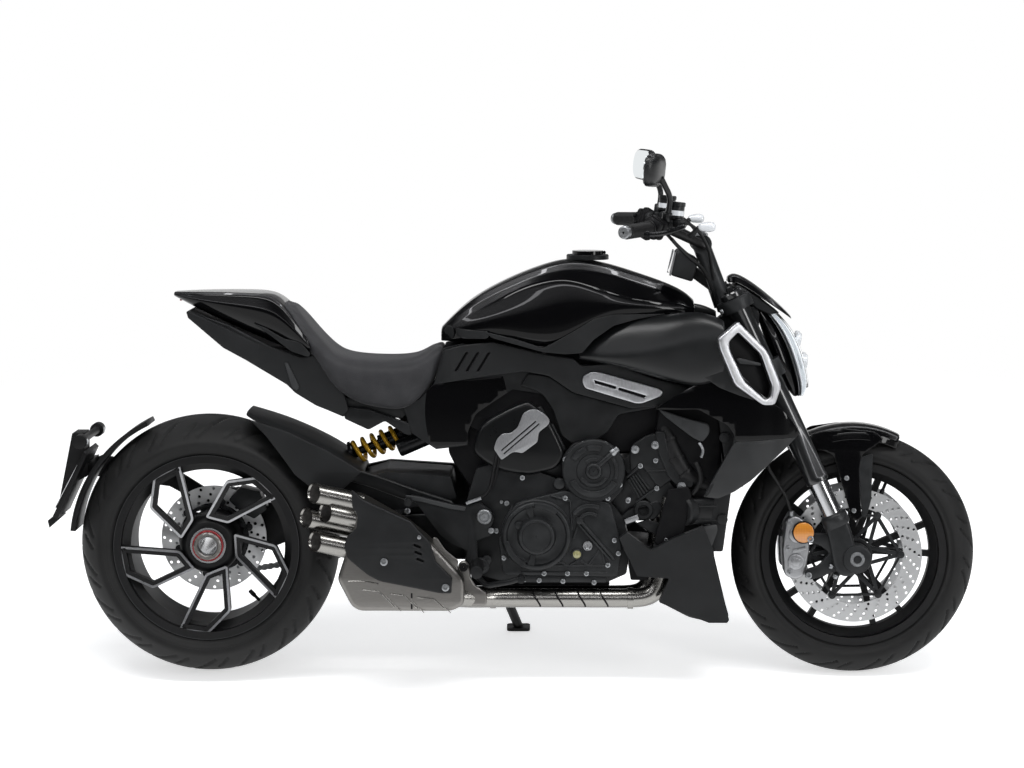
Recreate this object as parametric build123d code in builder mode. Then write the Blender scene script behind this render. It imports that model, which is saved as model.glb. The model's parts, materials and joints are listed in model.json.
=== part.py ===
"""Power cruiser motorcycle, parked on its side stand.

Everything is drawn upright in a bike frame: X forward from the rear axle, Y to the bike's left,
Z up from the road, the wheels in the plane Y = 0.  The last step leans the whole bike to its left
until both tyres and the stand's foot meet the floor, and moves the origin to the bottom centre.
"""
import os
from math import asin, cos, degrees, hypot, radians, sin

from build123d import *

os.makedirs("parts", exist_ok=True)

# ---------------------------------------------------------------- driving dimensions (mm, degrees)
wheelbase = 1593.0
lean = 9.0                      # to the left, on the side stand
rake = 25.0
running_gap = 0.05              # radial, at shafts in bores
seat_gap = 0.3                  # between pieces that are fitted together
moving_gap = 6.0                # between bodies that pass each other

rear_tyre_radius = 320.0
rear_tyre_width = 240.0
rear_crown_drop = 58.0          # from the crown to the widest point
front_tyre_radius = 300.0
front_tyre_width = 120.0
front_crown_drop = 42.0
tyre_wall = 10.0
rim_seat_radius = 216.0
rim_flange_radius = 228.0
rim_wall = 6.0

rear_rim_width = 206.0
rear_barrel_radius = 196.0      # outside of the drop centre
rear_hub_radius = 75.0
rear_spoke_face = 52.0          # right-hand face of the spokes, from the mid-plane
rear_spoke_depth = 26.0
rear_spoke_band = 14.0
rear_shaft_radius = 32.0
rear_shaft_bore = 20.4
rear_disc_radius = 132.0
rear_disc_offset = 62.0
sprocket_radius = 109.0
sprocket_thickness = 5.0
chain_line = 168.0
chain_height = 15.0
chain_plate = 3.0
chain_side_gap = 7.8
output_radius = 38.0
output_x = 752.0
output_z = 372.0

front_rim_width = 98.0
front_barrel_radius = 196.0
front_hub_radius = 36.0
front_spoke_width = 13.0
front_spoke_depth = 22.0
front_axle_radius = 12.5
front_disc_radius = 165.0
front_disc_band = 47.0
front_disc_offset = 62.0
disc_thickness = 5.0

steering_offset = 28.0          # axle ahead of the steering axis
fork_offset = 20.0              # fork tubes ahead of the steering axis
fork_spread = 105.0             # each tube from the mid-plane
fork_tube_radius = 29.0
fork_slider_radius = 24.0
fork_tube_bottom = 211.0        # along the fork, from the axle's level
fork_tube_top = 722.0
fork_foot_top = 104.0
fork_foot_inner = 83.0          # inner face of each foot, from the mid-plane
lower_clamp_at = 490.0
lower_clamp_height = 42.0
upper_clamp_at = 676.0
upper_clamp_height = 30.0
stem_radius = 16.0
head_tube_radius = 34.0

swingarm_pivot_x = 684.0
swingarm_pivot_z = 400.0
pivot_bolt_radius = 12.0
arm_inner = 128.0
arm_thickness = 22.0

crank_x = 900.0
crank_z = 352.0
front_bank_angle = 37.0
rear_bank_angle = 117.0
case_half_width = 128.0

tank_half_width = 163.0
panel_inner = 104.0             # side panels, from the mid-plane
panel_thickness = 22.0
duct_outer = 205.0
intake_reach = 200.0            # intake ring's face, from the mid-plane
intake_depth = 20.0
intake_angle = 18.0             # the intake rings face outward and this much forward
cowl_inner = 152.0
cowl_outer = 192.0

bar_radius = 11.0
bar_centre_x = 1212.0
bar_centre_z = 1065.0
bar_end_x = 1019.0
bar_end_y = 400.0
bar_end_z = 1108.0
grip_length = 118.0
grip_radius = 17.0
bar_sweep_x = 60.0              # grip's inner end ahead of its outer end

filler_x = 935.0
filler_lid_radius = 38.0
filler_neck_radius = 24.0
filler_neck_depth = 40.0
filler_lid_thickness = 9.0
lid_hinge_radius = 4.0

stand_pivot_x = 700.0
stand_pivot_y = 150.0
stand_pivot_z = 232.0
stand_pin_radius = 6.0
stand_foot_x = 762.0
stand_foot_y = 302.0
stand_leg_radius = 12.0
stand_pad_radius = 30.0
stand_pad_thickness = 8.0

# ---------------------------------------------------------------- worked-out places
def crown_radius(width, drop):
    """Radius of the tread arc that spans the width with the given drop."""
    return (width ** 2 / 4 + drop ** 2) / (2 * drop)


def leaned_height(radius, crown):
    """Height of a leaned wheel's centre above the floor."""
    return (radius - crown) * cos(radians(lean)) + crown


rear_crown = crown_radius(rear_tyre_width, rear_crown_drop)
front_crown = crown_radius(front_tyre_width, front_crown_drop)
rear_axle_z = rear_tyre_radius
floor_lift = leaned_height(rear_tyre_radius, rear_crown) - rear_axle_z * cos(radians(lean))
front_axle_z = (leaned_height(front_tyre_radius, front_crown) - floor_lift) / cos(radians(lean))

ahead_x, ahead_z = cos(radians(rake)), sin(radians(rake))
fork = Plane(
    origin=(wheelbase - steering_offset * ahead_x, 0, front_axle_z - steering_offset * ahead_z),
    x_dir=(ahead_x, 0, ahead_z),
    z_dir=(-ahead_z, 0, ahead_x),
)
floor = Plane(
    origin=(0, 0, -floor_lift / cos(radians(lean))),
    x_dir=(1, 0, 0),
    z_dir=(0, -sin(radians(lean)), cos(radians(lean))),
)
rear_axle = Axis((0, 0, rear_axle_z), (0, 1, 0))
front_axle = Axis((wheelbase, 0, front_axle_z), (0, 1, 0))
pieces = []


# ---------------------------------------------------------------- shared ways of making a shape
def keep(part, name):
    """Label a finished sub-part and put it in the list that is written out."""
    part.label = name
    pieces.append(part)


def side(distance):
    """A side-view plane, its distance measured to the bike's right."""
    return Plane.XZ.offset(distance)


def plate(points, start, end, corner=0.0, mode=Mode.ADD):
    """A side-view outline made solid from one distance off the mid-plane to another."""
    with BuildSketch(side(start)) as outline:
        with BuildLine():
            Polyline(*points, close=True)
        make_face()
        if corner > 0:
            fillet(outline.vertices(), corner)
    extrude(outline.sketch, amount=end - start, mode=mode)


def drum(centre, radius, start, end, mode=Mode.ADD):
    """A disc or a hole across the bike, from one distance off the mid-plane to another."""
    with BuildSketch(side(start)) as outline:
        with Locations(centre):
            Circle(radius)
    extrude(outline.sketch, amount=end - start, mode=mode)


def rod(start, end, radius, mode=Mode.ADD):
    """A round bar between two points."""
    run = Vector(end) - Vector(start)
    with BuildSketch(Plane(origin=start, z_dir=run)) as section:
        Circle(radius)
    extrude(section.sketch, amount=run.length, mode=mode)


def pipe(points, bend, radius):
    """A round tube along straight runs that tangent arcs join."""
    with BuildLine() as path:
        FilletPolyline(*points, radius=bend)
    with BuildSketch(Plane(origin=path.line @ 0, z_dir=path.line % 0)) as section:
        Circle(radius)
    sweep(section.sketch, path.line)


def skin(stations):
    """A body lofted through closed cross-sections: x, then points (y, z) of the right half."""
    faces = []
    for x, half in stations:
        inner = [(-y, z) for y, z in reversed(half) if y > 0]
        with BuildSketch(Plane.YZ.offset(x)) as section:
            with BuildLine():
                Polyline(*half, *inner, close=True)
            make_face()
        faces.append(section.sketch.face())
    loft(faces, ruled=True)


def in_fork(ahead, y, up):
    """A point given in the fork's own directions, as a place in the bike frame."""
    return tuple(fork.from_local_coords(Vector(ahead, y, up)))


# ---------------------------------------------------------------- wheels
def tyre_profile(width, radius, drop, wall, seat_width):
    """Cross-section of a tyre, right of the hub line to left, on the plane through the axle."""
    shoulder = radius - drop
    half = width / 2
    bead = seat_width / 2 - rim_wall - seat_gap
    with BuildLine() as outline:
        ThreePointArc((-half, shoulder), (0, radius), (half, shoulder))
        Polyline(
            (half, shoulder), (bead + wall, rim_flange_radius + 6), (bead, rim_flange_radius + 1),
            (bead, rim_seat_radius), (bead - wall, rim_seat_radius), (half - wall, shoulder),
        )
        ThreePointArc((half - wall, shoulder), (0, radius - wall), (wall - half, shoulder))
        Polyline(
            (wall - half, shoulder), (wall - bead, rim_seat_radius), (-bead, rim_seat_radius),
            (-bead, rim_flange_radius + 1), (-bead - wall, rim_flange_radius + 6), (-half, shoulder),
        )
    make_face(outline.edges())


def rim_profile(width, barrel):
    """Cross-section of a rim: flanges, bead seats and a drop centre, one wall thick."""
    half = width / 2
    seat = rim_seat_radius - seat_gap
    outer = [
        (half, rim_flange_radius), (half - rim_wall, rim_flange_radius), (half - rim_wall, seat),
        (half - 4 * rim_wall, seat), (half - 6 * rim_wall, barrel),
    ]
    inner = [(half - 6 * rim_wall, barrel - rim_wall), (half - 4 * rim_wall, seat - rim_wall), (half, seat - rim_wall)]
    with BuildLine() as outline:
        Polyline(
            *outer, *[(-y, z) for y, z in reversed(outer)],
            *[(-y, z) for y, z in reversed(inner)], *inner, close=True,
        )
    make_face(outline.edges())


def across(x, z):
    """The cross-section plane through an axle, its own Y pointing up."""
    return Plane(origin=(x, 0, z), x_dir=(0, 1, 0), z_dir=(1, 0, 0))


def wheel_side(x, z, distance):
    """The side-view plane through a wheel's centre."""
    return Plane(origin=(x, -distance, z), x_dir=(1, 0, 0), z_dir=(0, -1, 0))


with BuildPart() as rear_tyre:
    with BuildSketch(across(0, rear_axle_z)) as section:
        tyre_profile(rear_tyre_width, rear_tyre_radius, rear_crown_drop, tyre_wall, rear_rim_width)
    revolve(section.sketch, rear_axle)
keep(rear_tyre.part, "rear_tyre")

with BuildPart() as front_tyre:
    with BuildSketch(across(wheelbase, front_axle_z)) as section:
        tyre_profile(front_tyre_width, front_tyre_radius, front_crown_drop, tyre_wall, front_rim_width)
    revolve(section.sketch, front_axle)
keep(front_tyre.part, "front_tyre")

with BuildSketch() as rear_petal:
    with BuildLine():
        Polyline((45, -50), (56, -160), (0, -194), (-62, -186), (-8, -66), close=True)
    make_face()
    offset(amount=-rear_spoke_band, kind=Kind.INTERSECTION, mode=Mode.SUBTRACT)

with BuildPart() as rear_rim:
    with BuildSketch(across(0, rear_axle_z)) as section:
        rim_profile(rear_rim_width, rear_barrel_radius)
    revolve(section.sketch, rear_axle)
    with BuildSketch(wheel_side(0, rear_axle_z, rear_spoke_face - rear_spoke_depth)) as spokes:
        with PolarLocations(0, 5):
            add(rear_petal.sketch)
    extrude(spokes.sketch, amount=rear_spoke_depth)
    drum((0, rear_axle_z), rear_hub_radius, -rear_disc_offset + moving_gap, rear_spoke_face)
    drum((0, rear_axle_z), rear_shaft_radius + seat_gap, -rear_tyre_width, rear_tyre_width, Mode.SUBTRACT)
keep(rear_rim.part, "rear_rim")

with BuildPart() as rear_shaft:
    shaft_end = chain_line + sprocket_thickness / 2 + 14
    drum((0, rear_axle_z), rear_shaft_radius, -shaft_end, rear_spoke_face - 4)
    drum((0, rear_axle_z), 44, rear_spoke_face + seat_gap, rear_spoke_face + 14)
    drum((0, rear_axle_z), rear_shaft_radius, rear_spoke_face - 4, rear_spoke_face + 14)
    drum((0, rear_axle_z), 52, -shaft_end, -chain_line - sprocket_thickness / 2)
    drum((0, rear_axle_z), rear_shaft_bore, -shaft_end, rear_spoke_face + 14, Mode.SUBTRACT)
keep(rear_shaft.part, "rear_axle_shaft")

with BuildPart() as rear_sprocket:
    sprocket_inner = -chain_line - sprocket_thickness / 2 + seat_gap
    drum((0, rear_axle_z), sprocket_radius + 4, sprocket_inner, sprocket_inner + sprocket_thickness)
    drum((0, rear_axle_z), rear_shaft_radius + seat_gap, sprocket_inner, sprocket_inner + 60, Mode.SUBTRACT)
    with BuildSketch(wheel_side(0, rear_axle_z, sprocket_inner)) as windows:
        with PolarLocations(72, 5):
            Circle(16)
    extrude(windows.sketch, amount=sprocket_thickness, mode=Mode.SUBTRACT)
keep(rear_sprocket.part, "rear_sprocket")

with BuildPart() as rear_disc:
    disc_start = -rear_disc_offset - disc_thickness
    drum((0, rear_axle_z), rear_disc_radius, disc_start, disc_start + disc_thickness)
    drum((0, rear_axle_z), 84, disc_start, disc_start + disc_thickness, Mode.SUBTRACT)
    with BuildSketch(wheel_side(0, rear_axle_z, disc_start)) as arms:
        Circle(60)
        with PolarLocations(75, 6):
            Rectangle(36, 18)
    extrude(arms.sketch, amount=disc_thickness + moving_gap - seat_gap)
    drum((0, rear_axle_z), rear_shaft_radius + seat_gap, disc_start, 0, Mode.SUBTRACT)
keep(rear_disc.part, "rear_disc")

with BuildSketch() as front_spoke_pair:
    with BuildLine():
        Polyline((-9, 30), (9, 30), (46, 192), (32, 196), (0, 60), (-32, 196), (-46, 192), close=True)
    make_face()

with BuildPart() as front_rim:
    with BuildSketch(across(wheelbase, front_axle_z)) as section:
        rim_profile(front_rim_width, front_barrel_radius)
    revolve(section.sketch, front_axle)
    with BuildSketch(wheel_side(wheelbase, front_axle_z, -front_spoke_depth / 2)) as spokes:
        with PolarLocations(0, 5, start_angle=-8):
            add(front_spoke_pair.sketch)
    extrude(spokes.sketch, amount=front_spoke_depth)
    drum((wheelbase, front_axle_z), front_hub_radius, -front_disc_offset + seat_gap, front_disc_offset - seat_gap)
    drum(
        (wheelbase, front_axle_z), front_axle_radius + running_gap,
        -front_tyre_width, front_tyre_width, Mode.SUBTRACT,
    )
keep(front_rim.part, "front_rim")

with BuildPart() as front_discs:
    drum((wheelbase, front_axle_z), front_disc_radius, front_disc_offset, front_disc_offset + disc_thickness)
    drum(
        (wheelbase, front_axle_z), front_disc_radius - front_disc_band,
        front_disc_offset, front_disc_offset + disc_thickness, Mode.SUBTRACT,
    )
    with BuildSketch(wheel_side(wheelbase, front_axle_z, front_disc_offset)) as carrier:
        Circle(front_hub_radius + 12)
        with PolarLocations(84, 6):
            Rectangle(84, 14)
    extrude(carrier.sketch, amount=disc_thickness)
    drum(
        (wheelbase, front_axle_z), front_axle_radius + 8,
        front_disc_offset, front_disc_offset + disc_thickness, Mode.SUBTRACT,
    )
    mirror(about=Plane.XZ)
keep(front_discs.part, "front_discs")

# ---------------------------------------------------------------- fork and what turns with it
with BuildPart() as fork_sliders:
    for y in (-fork_spread, fork_spread):
        rod(in_fork(fork_offset, y, 60), in_fork(fork_offset, y, fork_tube_bottom + 30), fork_slider_radius)
        with BuildSketch(fork.offset(-30)) as foot:
            with Locations((fork_offset, y)):
                RectangleRounded(62, 2 * (fork_spread - fork_foot_inner), 14)
        extrude(foot.sketch, amount=fork_foot_top + 30)
        outward = y / fork_spread
        with BuildSketch(Plane(origin=(wheelbase, y - 24 * outward, front_axle_z), z_dir=(0, outward, 0))) as boss:
            Circle(34)
        extrude(boss.sketch, amount=48)
    rod((wheelbase, -fork_spread, front_axle_z), (wheelbase, fork_spread, front_axle_z), front_axle_radius)
keep(fork_sliders.part, "fork_sliders")

with BuildPart() as fork_tubes:
    for y in (-fork_spread, fork_spread):
        rod(
            in_fork(fork_offset, y, fork_tube_bottom), in_fork(fork_offset, y, fork_tube_top),
            fork_tube_radius,
        )
        rod(
            in_fork(fork_offset, y, fork_tube_bottom - 1),
            in_fork(fork_offset, y, fork_tube_bottom + 31), fork_slider_radius + running_gap, Mode.SUBTRACT,
        )
keep(fork_tubes.part, "fork_tubes")

with BuildPart() as fork_clamps:
    for at, height in ((lower_clamp_at, lower_clamp_height), (upper_clamp_at, upper_clamp_height)):
        with BuildSketch(fork.offset(at)) as clamp:
            for y in (-fork_spread, fork_spread):
                with Locations((fork_offset, y)):
                    Circle(fork_tube_radius + 12)
            with Locations((fork_offset / 2, 0)):
                Rectangle(64, 2 * fork_spread)
            for y in (-fork_spread, fork_spread):
                with Locations((fork_offset, y)):
                    Circle(fork_tube_radius + seat_gap, mode=Mode.SUBTRACT)
        extrude(clamp.sketch, amount=height)
    rod(in_fork(0, 0, lower_clamp_at), in_fork(0, 0, upper_clamp_at + 1), stem_radius)
    for y in (-60, 60):
        rod((bar_centre_x, y, bar_centre_z), in_fork(-6, y, upper_clamp_at + 10), 20)
        rod((bar_centre_x, y - 20, bar_centre_z), (bar_centre_x, y + 20, bar_centre_z), 24)
    rod((bar_centre_x, -200, bar_centre_z), (bar_centre_x, 200, bar_centre_z), 14 + seat_gap, Mode.SUBTRACT)
keep(fork_clamps.part, "fork_clamps")

bar_tip = Vector(bar_end_x, bar_end_y, bar_end_z)
bar_inward = Vector(bar_sweep_x, -grip_length + 6, 4).normalized()
bar_shoulder = bar_tip + bar_inward * (grip_length + 74)
with BuildPart() as handlebar:
    knee = (bar_centre_x, 106, bar_centre_z)
    pipe([bar_tip, bar_shoulder, knee, (bar_centre_x, 0, bar_centre_z)], 44, bar_radius)
    rod((bar_centre_x, 0, bar_centre_z), (bar_centre_x, 92, bar_centre_z), bar_radius + 3)
    mirror(about=Plane.XZ)
keep(handlebar.part, "handlebar")

with BuildPart() as hand_controls:
    for outward in (-1, 1):
        tip = Vector(bar_tip.X, outward * bar_tip.Y, bar_tip.Z)
        along = Vector(bar_inward.X, outward * bar_inward.Y, bar_inward.Z)
        grip_end = tip + along * grip_length
        rod(tip, grip_end, grip_radius)
        rod(tip - along * 14, tip, grip_radius - 1)
        rod(grip_end, grip_end + along * 58, 25)
        perch = grip_end + along * 32 + Vector(36, 0, 24)
        rod(grip_end + along * 32, perch, 14)
        rod(perch - Vector(0, 26, 0), perch + Vector(0, 26, 0), 15)
        lever_root = grip_end + Vector(60, 0, 2)
        rod(perch, lever_root, 9)
        rod(lever_root, tip + Vector(54, -outward * 4, -6), 7)
        rod(tip, tip + along * 200, bar_radius + seat_gap, Mode.SUBTRACT)
keep(hand_controls.part, "hand_controls")

mirror_centre = (1092, -330, 1247)
with BuildPart() as mirrors:
    pipe([(1122, -262, 1146), (1128, -292, 1182), (1106, -316, 1224)], 30, 7)
    with BuildSketch(Plane(origin=mirror_centre, x_dir=(0, -1, 0), z_dir=(1, 0, 0.12))) as housing:
        RectangleRounded(150, 84, 26)
    extrude(housing.sketch, amount=16, both=True, taper=12)
    mirror(about=Plane.XZ)
    add(hand_controls.part, mode=Mode.SUBTRACT)
keep(mirrors.part, "mirrors")

with BuildPart() as dash:
    plate([(1136, 990), (1150, 1040), (1160, 1050), (1206, 1026), (1190, 972)], -68, 68, 4)
    plate([(1184, 985), (1196, 1008), (1300, 940), (1280, 915)], -22, 22)
    add(fork_clamps.part, mode=Mode.SUBTRACT)
keep(dash.part, "dash")

with BuildPart() as headlight:
    plate(
        [
            (1348, 918), (1400, 893), (1440, 850), (1470, 790), (1482, 720), (1465, 686),
            (1442, 690), (1424, 730), (1404, 760), (1386, 800), (1368, 850),
        ],
        -88, 88, 6,
    )
    with BuildSketch(Plane.XY.offset(660)) as plan:
        with BuildLine():
            Polyline((1330, -88), (1400, -88), (1490, -50), (1490, 50), (1400, 88), (1330, 88), close=True)
        make_face()
    extrude(plan.sketch, amount=300, mode=Mode.INTERSECT)
    add(fork_clamps.part, mode=Mode.SUBTRACT)
    add(fork_tubes.part, mode=Mode.SUBTRACT)
keep(headlight.part, "headlight")

with BuildPart() as headlight_bracket:
    plate([(1322, 905), (1346, 915), (1346, 850), (1400, 745), (1362, 700), (1342, 760)], -58, -50)
    mirror(about=Plane.XZ)
    add(fork_clamps.part, mode=Mode.SUBTRACT)
    add(headlight.part, mode=Mode.SUBTRACT)
keep(headlight_bracket.part, "headlight_bracket")

with BuildPart() as flyscreen:
    plate(
        [(1285, 990), (1300, 993), (1340, 966), (1382, 936), (1428, 892), (1402, 897), (1346, 922), (1300, 950)],
        -78, 78, 3,
    )
    add(fork_clamps.part, mode=Mode.SUBTRACT)
    add(headlight.part, mode=Mode.SUBTRACT)
keep(flyscreen.part, "flyscreen")

guard_inner = front_tyre_radius + moving_gap + 2
stay_inner = front_disc_offset + disc_thickness + moving_gap - 0.5
stay_outer = stay_inner + 3.5
with BuildPart() as front_mudguard:
    plate(
        [
            (1462, 560), (1478, 596), (1512, 617), (1581, 627), (1641, 622), (1700, 603), (1706, 590),
            (1660, 560), (1600, 540),
        ],
        -stay_inner, stay_inner, 4,
    )
    drum((wheelbase, front_axle_z), guard_inner, -66, 66, Mode.SUBTRACT)
    for start, end in ((-stay_outer, -stay_inner), (stay_inner, stay_outer)):
        plate(
            [
                (1478, 596), (1512, 617), (1581, 627), (1641, 622), (1650, 600), (1634, 560), (1636, 500),
                (1620, 400), (1590, 380), (1560, 400), (1540, 500), (1500, 560),
            ],
            start, end, 6,
        )
    drum((1556, 378), 12, stay_inner, fork_spread - fork_slider_radius - seat_gap)
    drum((1556, 378), 12, fork_slider_radius + seat_gap - fork_spread, -stay_inner)
keep(front_mudguard.part, "front_mudguard")

caliper_slot = disc_thickness / 2 + 5
disc_middle = front_disc_offset + disc_thickness / 2
with BuildPart() as front_calipers:
    plate(
        [(1420, 252), (1414, 320), (1424, 396), (1452, 402), (1476, 380), (1482, 320), (1470, 250), (1445, 240)],
        disc_middle - 24, disc_middle + 30, 8,
    )
    drum(
        (wheelbase, front_axle_z), front_disc_radius + 5,
        disc_middle - caliper_slot, disc_middle + caliper_slot, Mode.SUBTRACT,
    )
    mirror(about=Plane.XZ)
keep(front_calipers.part, "front_calipers")

hose_radius = 4.0
with BuildPart() as brake_hoses:
    pipe(
        [(1436, -84, 402), (1420, -92, 450), (1376, -98, 520), (1372, -84, 610), (1394, -46, 690), (1396, -10, 716)],
        38, hose_radius,
    )
    mirror(about=Plane.XZ)
keep(brake_hoses.part, "brake_hoses")

# ---------------------------------------------------------------- engine
def bank_plane(angle, distance):
    """A plane whose X runs up a cylinder bank from the crank, at a distance to the bike's right."""
    return Plane(
        origin=(crank_x, -distance, crank_z),
        x_dir=(cos(radians(angle)), 0, sin(radians(angle))), z_dir=(0, -1, 0),
    )


def bank_block(angle, start, end, half_thickness, half_width):
    """A block across a bank, between two heights above the crank."""
    with BuildSketch(bank_plane(angle, -half_width)) as outline:
        with Locations(((start + end) / 2, 0)):
            Rectangle(end - start, 2 * half_thickness)
    extrude(outline.sketch, amount=2 * half_width)


stand_sole = Vector(
    stand_foot_x, stand_foot_y, (stand_foot_y * sin(radians(lean)) - floor_lift) / cos(radians(lean))
)
stand_top = Vector(stand_pivot_x, stand_pivot_y, stand_pivot_z)
stand_leg = stand_sole - stand_top
stand_axis = Vector(0, -stand_leg.Z, stand_leg.Y).normalized()
stand_boss = stand_leg_radius + 1
with BuildPart() as engine_case:
    plate(
        [
            (640, 440), (664, 520), (730, 540), (850, 500), (900, 470), (990, 440), (1022, 400), (1040, 330),
            (1030, 262), (980, 240), (740, 240), (660, 262), (628, 330),
        ],
        -case_half_width, case_half_width, 10,
    )
    drum((swingarm_pivot_x, swingarm_pivot_z), pivot_bolt_radius, -case_half_width, case_half_width, Mode.SUBTRACT)
    lug_top = stand_top - stand_axis * (stand_boss + 1)
    rod(lug_top - stand_axis * 26, lug_top, 19)
    rod((stand_pivot_x, case_half_width - 28, stand_pivot_z + 18), lug_top - stand_axis * 22, 9)
    rod(lug_top - stand_axis * 6, stand_top + stand_axis * (stand_boss + 4), stand_pin_radius)
keep(engine_case.part, "engine_case")

with BuildPart() as front_cylinders:
    bank_block(front_bank_angle, 120, 200, 62, 112)
    bank_block(front_bank_angle, 198, 270, 80, 124)
    bank_block(front_bank_angle, 268, 306, 70, 116)
    add(engine_case.part, mode=Mode.SUBTRACT)
keep(front_cylinders.part, "front_cylinders")

with BuildPart() as rear_cylinders:
    bank_block(rear_bank_angle, 120, 200, 62, 112)
    bank_block(rear_bank_angle, 198, 270, 82, 124)
    bank_block(rear_bank_angle, 268, 322, 76, 118)
    add(engine_case.part, mode=Mode.SUBTRACT)
    add(front_cylinders.part, mode=Mode.SUBTRACT)
keep(rear_cylinders.part, "rear_cylinders")

with BuildPart() as clutch_cover:
    drum((806, 350), 96, case_half_width, 176)
    drum((806, 350), 52, 170, 190)
    drum((948, 510), 78, case_half_width, 158)
    drum((948, 510), 40, 150, 166)
    plate(
        [
            (730, 260), (1010, 255), (1020, 330), (990, 440), (880, 470), (760, 440), (716, 350),
        ],
        case_half_width, 146, 10,
    )
keep(clutch_cover.part, "clutch_cover")

with BuildPart() as alternator_cover:
    drum((crank_x + 18, crank_z - 6), 80, -158, -case_half_width)
    plate(
        [(840, 290), (960, 266), (1006, 330), (980, 430), (880, 460), (838, 420)],
        -150, -case_half_width, 10,
    )
keep(alternator_cover.part, "alternator_cover")

# ---------------------------------------------------------------- frame, swingarm and shock
head_tube_bottom = lower_clamp_at + lower_clamp_height + moving_gap
head_tube_top = upper_clamp_at - moving_gap
with BuildPart() as main_frame:
    plate(
        [
            (565, 565), (506, 604), (486, 668), (525, 687), (560, 724), (582, 811), (624, 822), (703, 818),
            (899, 788), (919, 772), (995, 778), (1100, 800), (1206, 846), (1222, 800), (1228, 740), (1190, 690),
            (1088, 670), (1010, 650), (890, 640), (830, 700), (752, 712), (663, 653), (643, 609), (643, 574),
        ],
        panel_inner - 24, panel_inner - seat_gap, 6,
    )
    mirror(about=Plane.XZ)
    plate([(1000, 740), (1230, 830), (1262, 790), (1240, 740), (1000, 700)], -panel_inner + 20, panel_inner - 20)
    plate([(600, 700), (700, 760), (720, 740), (620, 670)], -panel_inner + 20, panel_inner - 20)
    rod(in_fork(0, 0, head_tube_bottom), in_fork(0, 0, head_tube_top), head_tube_radius)
    plate([(1225, 800), (1262, 860), (1300, 880), (1330, 800), (1300, 760), (1240, 740)], -26, 26)
    rod(
        in_fork(0, 0, head_tube_bottom - 40), in_fork(0, 0, head_tube_top + 40),
        stem_radius + running_gap, Mode.SUBTRACT,
    )
keep(main_frame.part, "main_frame")

with BuildPart() as swingarm:
    plate(
        [
            (684, 452), (600, 500), (440, 510), (300, 480), (150, 400), (60, 392), (-20, 386), (-72, 330),
            (-60, 262), (0, 246), (80, 262), (250, 330), (450, 352), (620, 345), (684, 350), (720, 400),
        ],
        -arm_inner - arm_thickness, -arm_inner, 10,
    )
    plate([(346, 480), (440, 508), (600, 496), (616, 440), (420, 404), (352, 440)], -arm_inner - 1, 96, 10)
    drum((0, rear_axle_z), 70, -arm_inner - arm_thickness, -rear_disc_offset - disc_thickness - moving_gap)
    drum((0, rear_axle_z), rear_shaft_radius + running_gap, -200, 0, Mode.SUBTRACT)
    drum(
        (swingarm_pivot_x, swingarm_pivot_z), pivot_bolt_radius - seat_gap,
        -arm_inner - arm_thickness, case_half_width,
    )
keep(swingarm.part, "swingarm")

shock_lower = (330, 0, 532)
shock_upper = (556, 0, 622)
with BuildPart() as rear_shock:
    rod(shock_lower, shock_upper, 14)
    along = (Vector(shock_upper) - Vector(shock_lower)).normalized()
    rod(Vector(shock_lower) + along * 24, Vector(shock_lower) + along * 160, 30)
    rod(Vector(shock_lower) - Vector(0, 16, 0), Vector(shock_lower) + Vector(0, 16, 0), 17)
    rod(Vector(shock_upper) - Vector(0, 16, 0), Vector(shock_upper) + Vector(0, 16, 0), 17)
keep(rear_shock.part, "rear_shock")

# ---------------------------------------------------------------- exhaust
pipe_radius = 23.0
with BuildPart() as exhaust_pipes:
    for y, start_y, front_x in ((-118, -184, 1112), (-66, -160, 1092)):
        pipe(
            [
                (600, start_y, 214), (700, y, 200), (front_x - 56, y, 200), (front_x, y, 252),
                (front_x + 26, y, 450),
            ],
            40, pipe_radius,
        )
    add(front_cylinders.part, mode=Mode.SUBTRACT)
keep(exhaust_pipes.part, "exhaust_pipes")

silencer_inner = 132.0
silencer_outer = 226.0
tips = [((262, 470), (372, 446), 188), ((290, 424), (380, 404), 196), ((240, 405), (368, 377), 154), ((264, 352), (368, 329), 188)]
with BuildPart() as silencer:
    plate(
        [
            (330, 256), (364, 196), (383, 184), (606, 184), (636, 200), (638, 262), (586, 322), (546, 362),
            (500, 400), (398, 458), (366, 470), (352, 400),
        ],
        silencer_inner, silencer_outer, 8,
    )
    for mouth, root, distance in tips:
        rod((mouth[0], -distance, mouth[1]), (root[0] + 30, -distance, root[1] - 6), 27)
    for mouth, root, distance in tips:
        rod((mouth[0], -distance, mouth[1]), (root[0], -distance, root[1]), 24, Mode.SUBTRACT)
    add(exhaust_pipes.part, mode=Mode.SUBTRACT)
keep(silencer.part, "silencer")

with BuildPart() as silencer_shield:
    plate(
        [
            (366, 486), (395, 460), (511, 407), (531, 382), (555, 358), (569, 310), (608, 271), (608, 231),
            (579, 229), (511, 243), (434, 258), (405, 277), (366, 320), (360, 347), (368, 368), (381, 385),
            (384, 419), (371, 440),
        ],
        silencer_outer + seat_gap, silencer_outer + 12, 3,
    )
keep(silencer_shield.part, "silencer_shield")

# ---------------------------------------------------------------- cooling and lower bodywork
with BuildPart() as radiators:
    plate([(1252, 650), (1284, 650), (1312, 480), (1280, 470)], -142, 142, 4)
    plate([(1246, 462), (1282, 472), (1262, 322), (1226, 322)], -142, 142, 4)
    plate([(1262, 440), (1268, 500), (1290, 500), (1276, 440)], -142, -130)
    plate([(1262, 440), (1268, 500), (1290, 500), (1276, 440)], 130, 142)
keep(radiators.part, "radiators")

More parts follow.
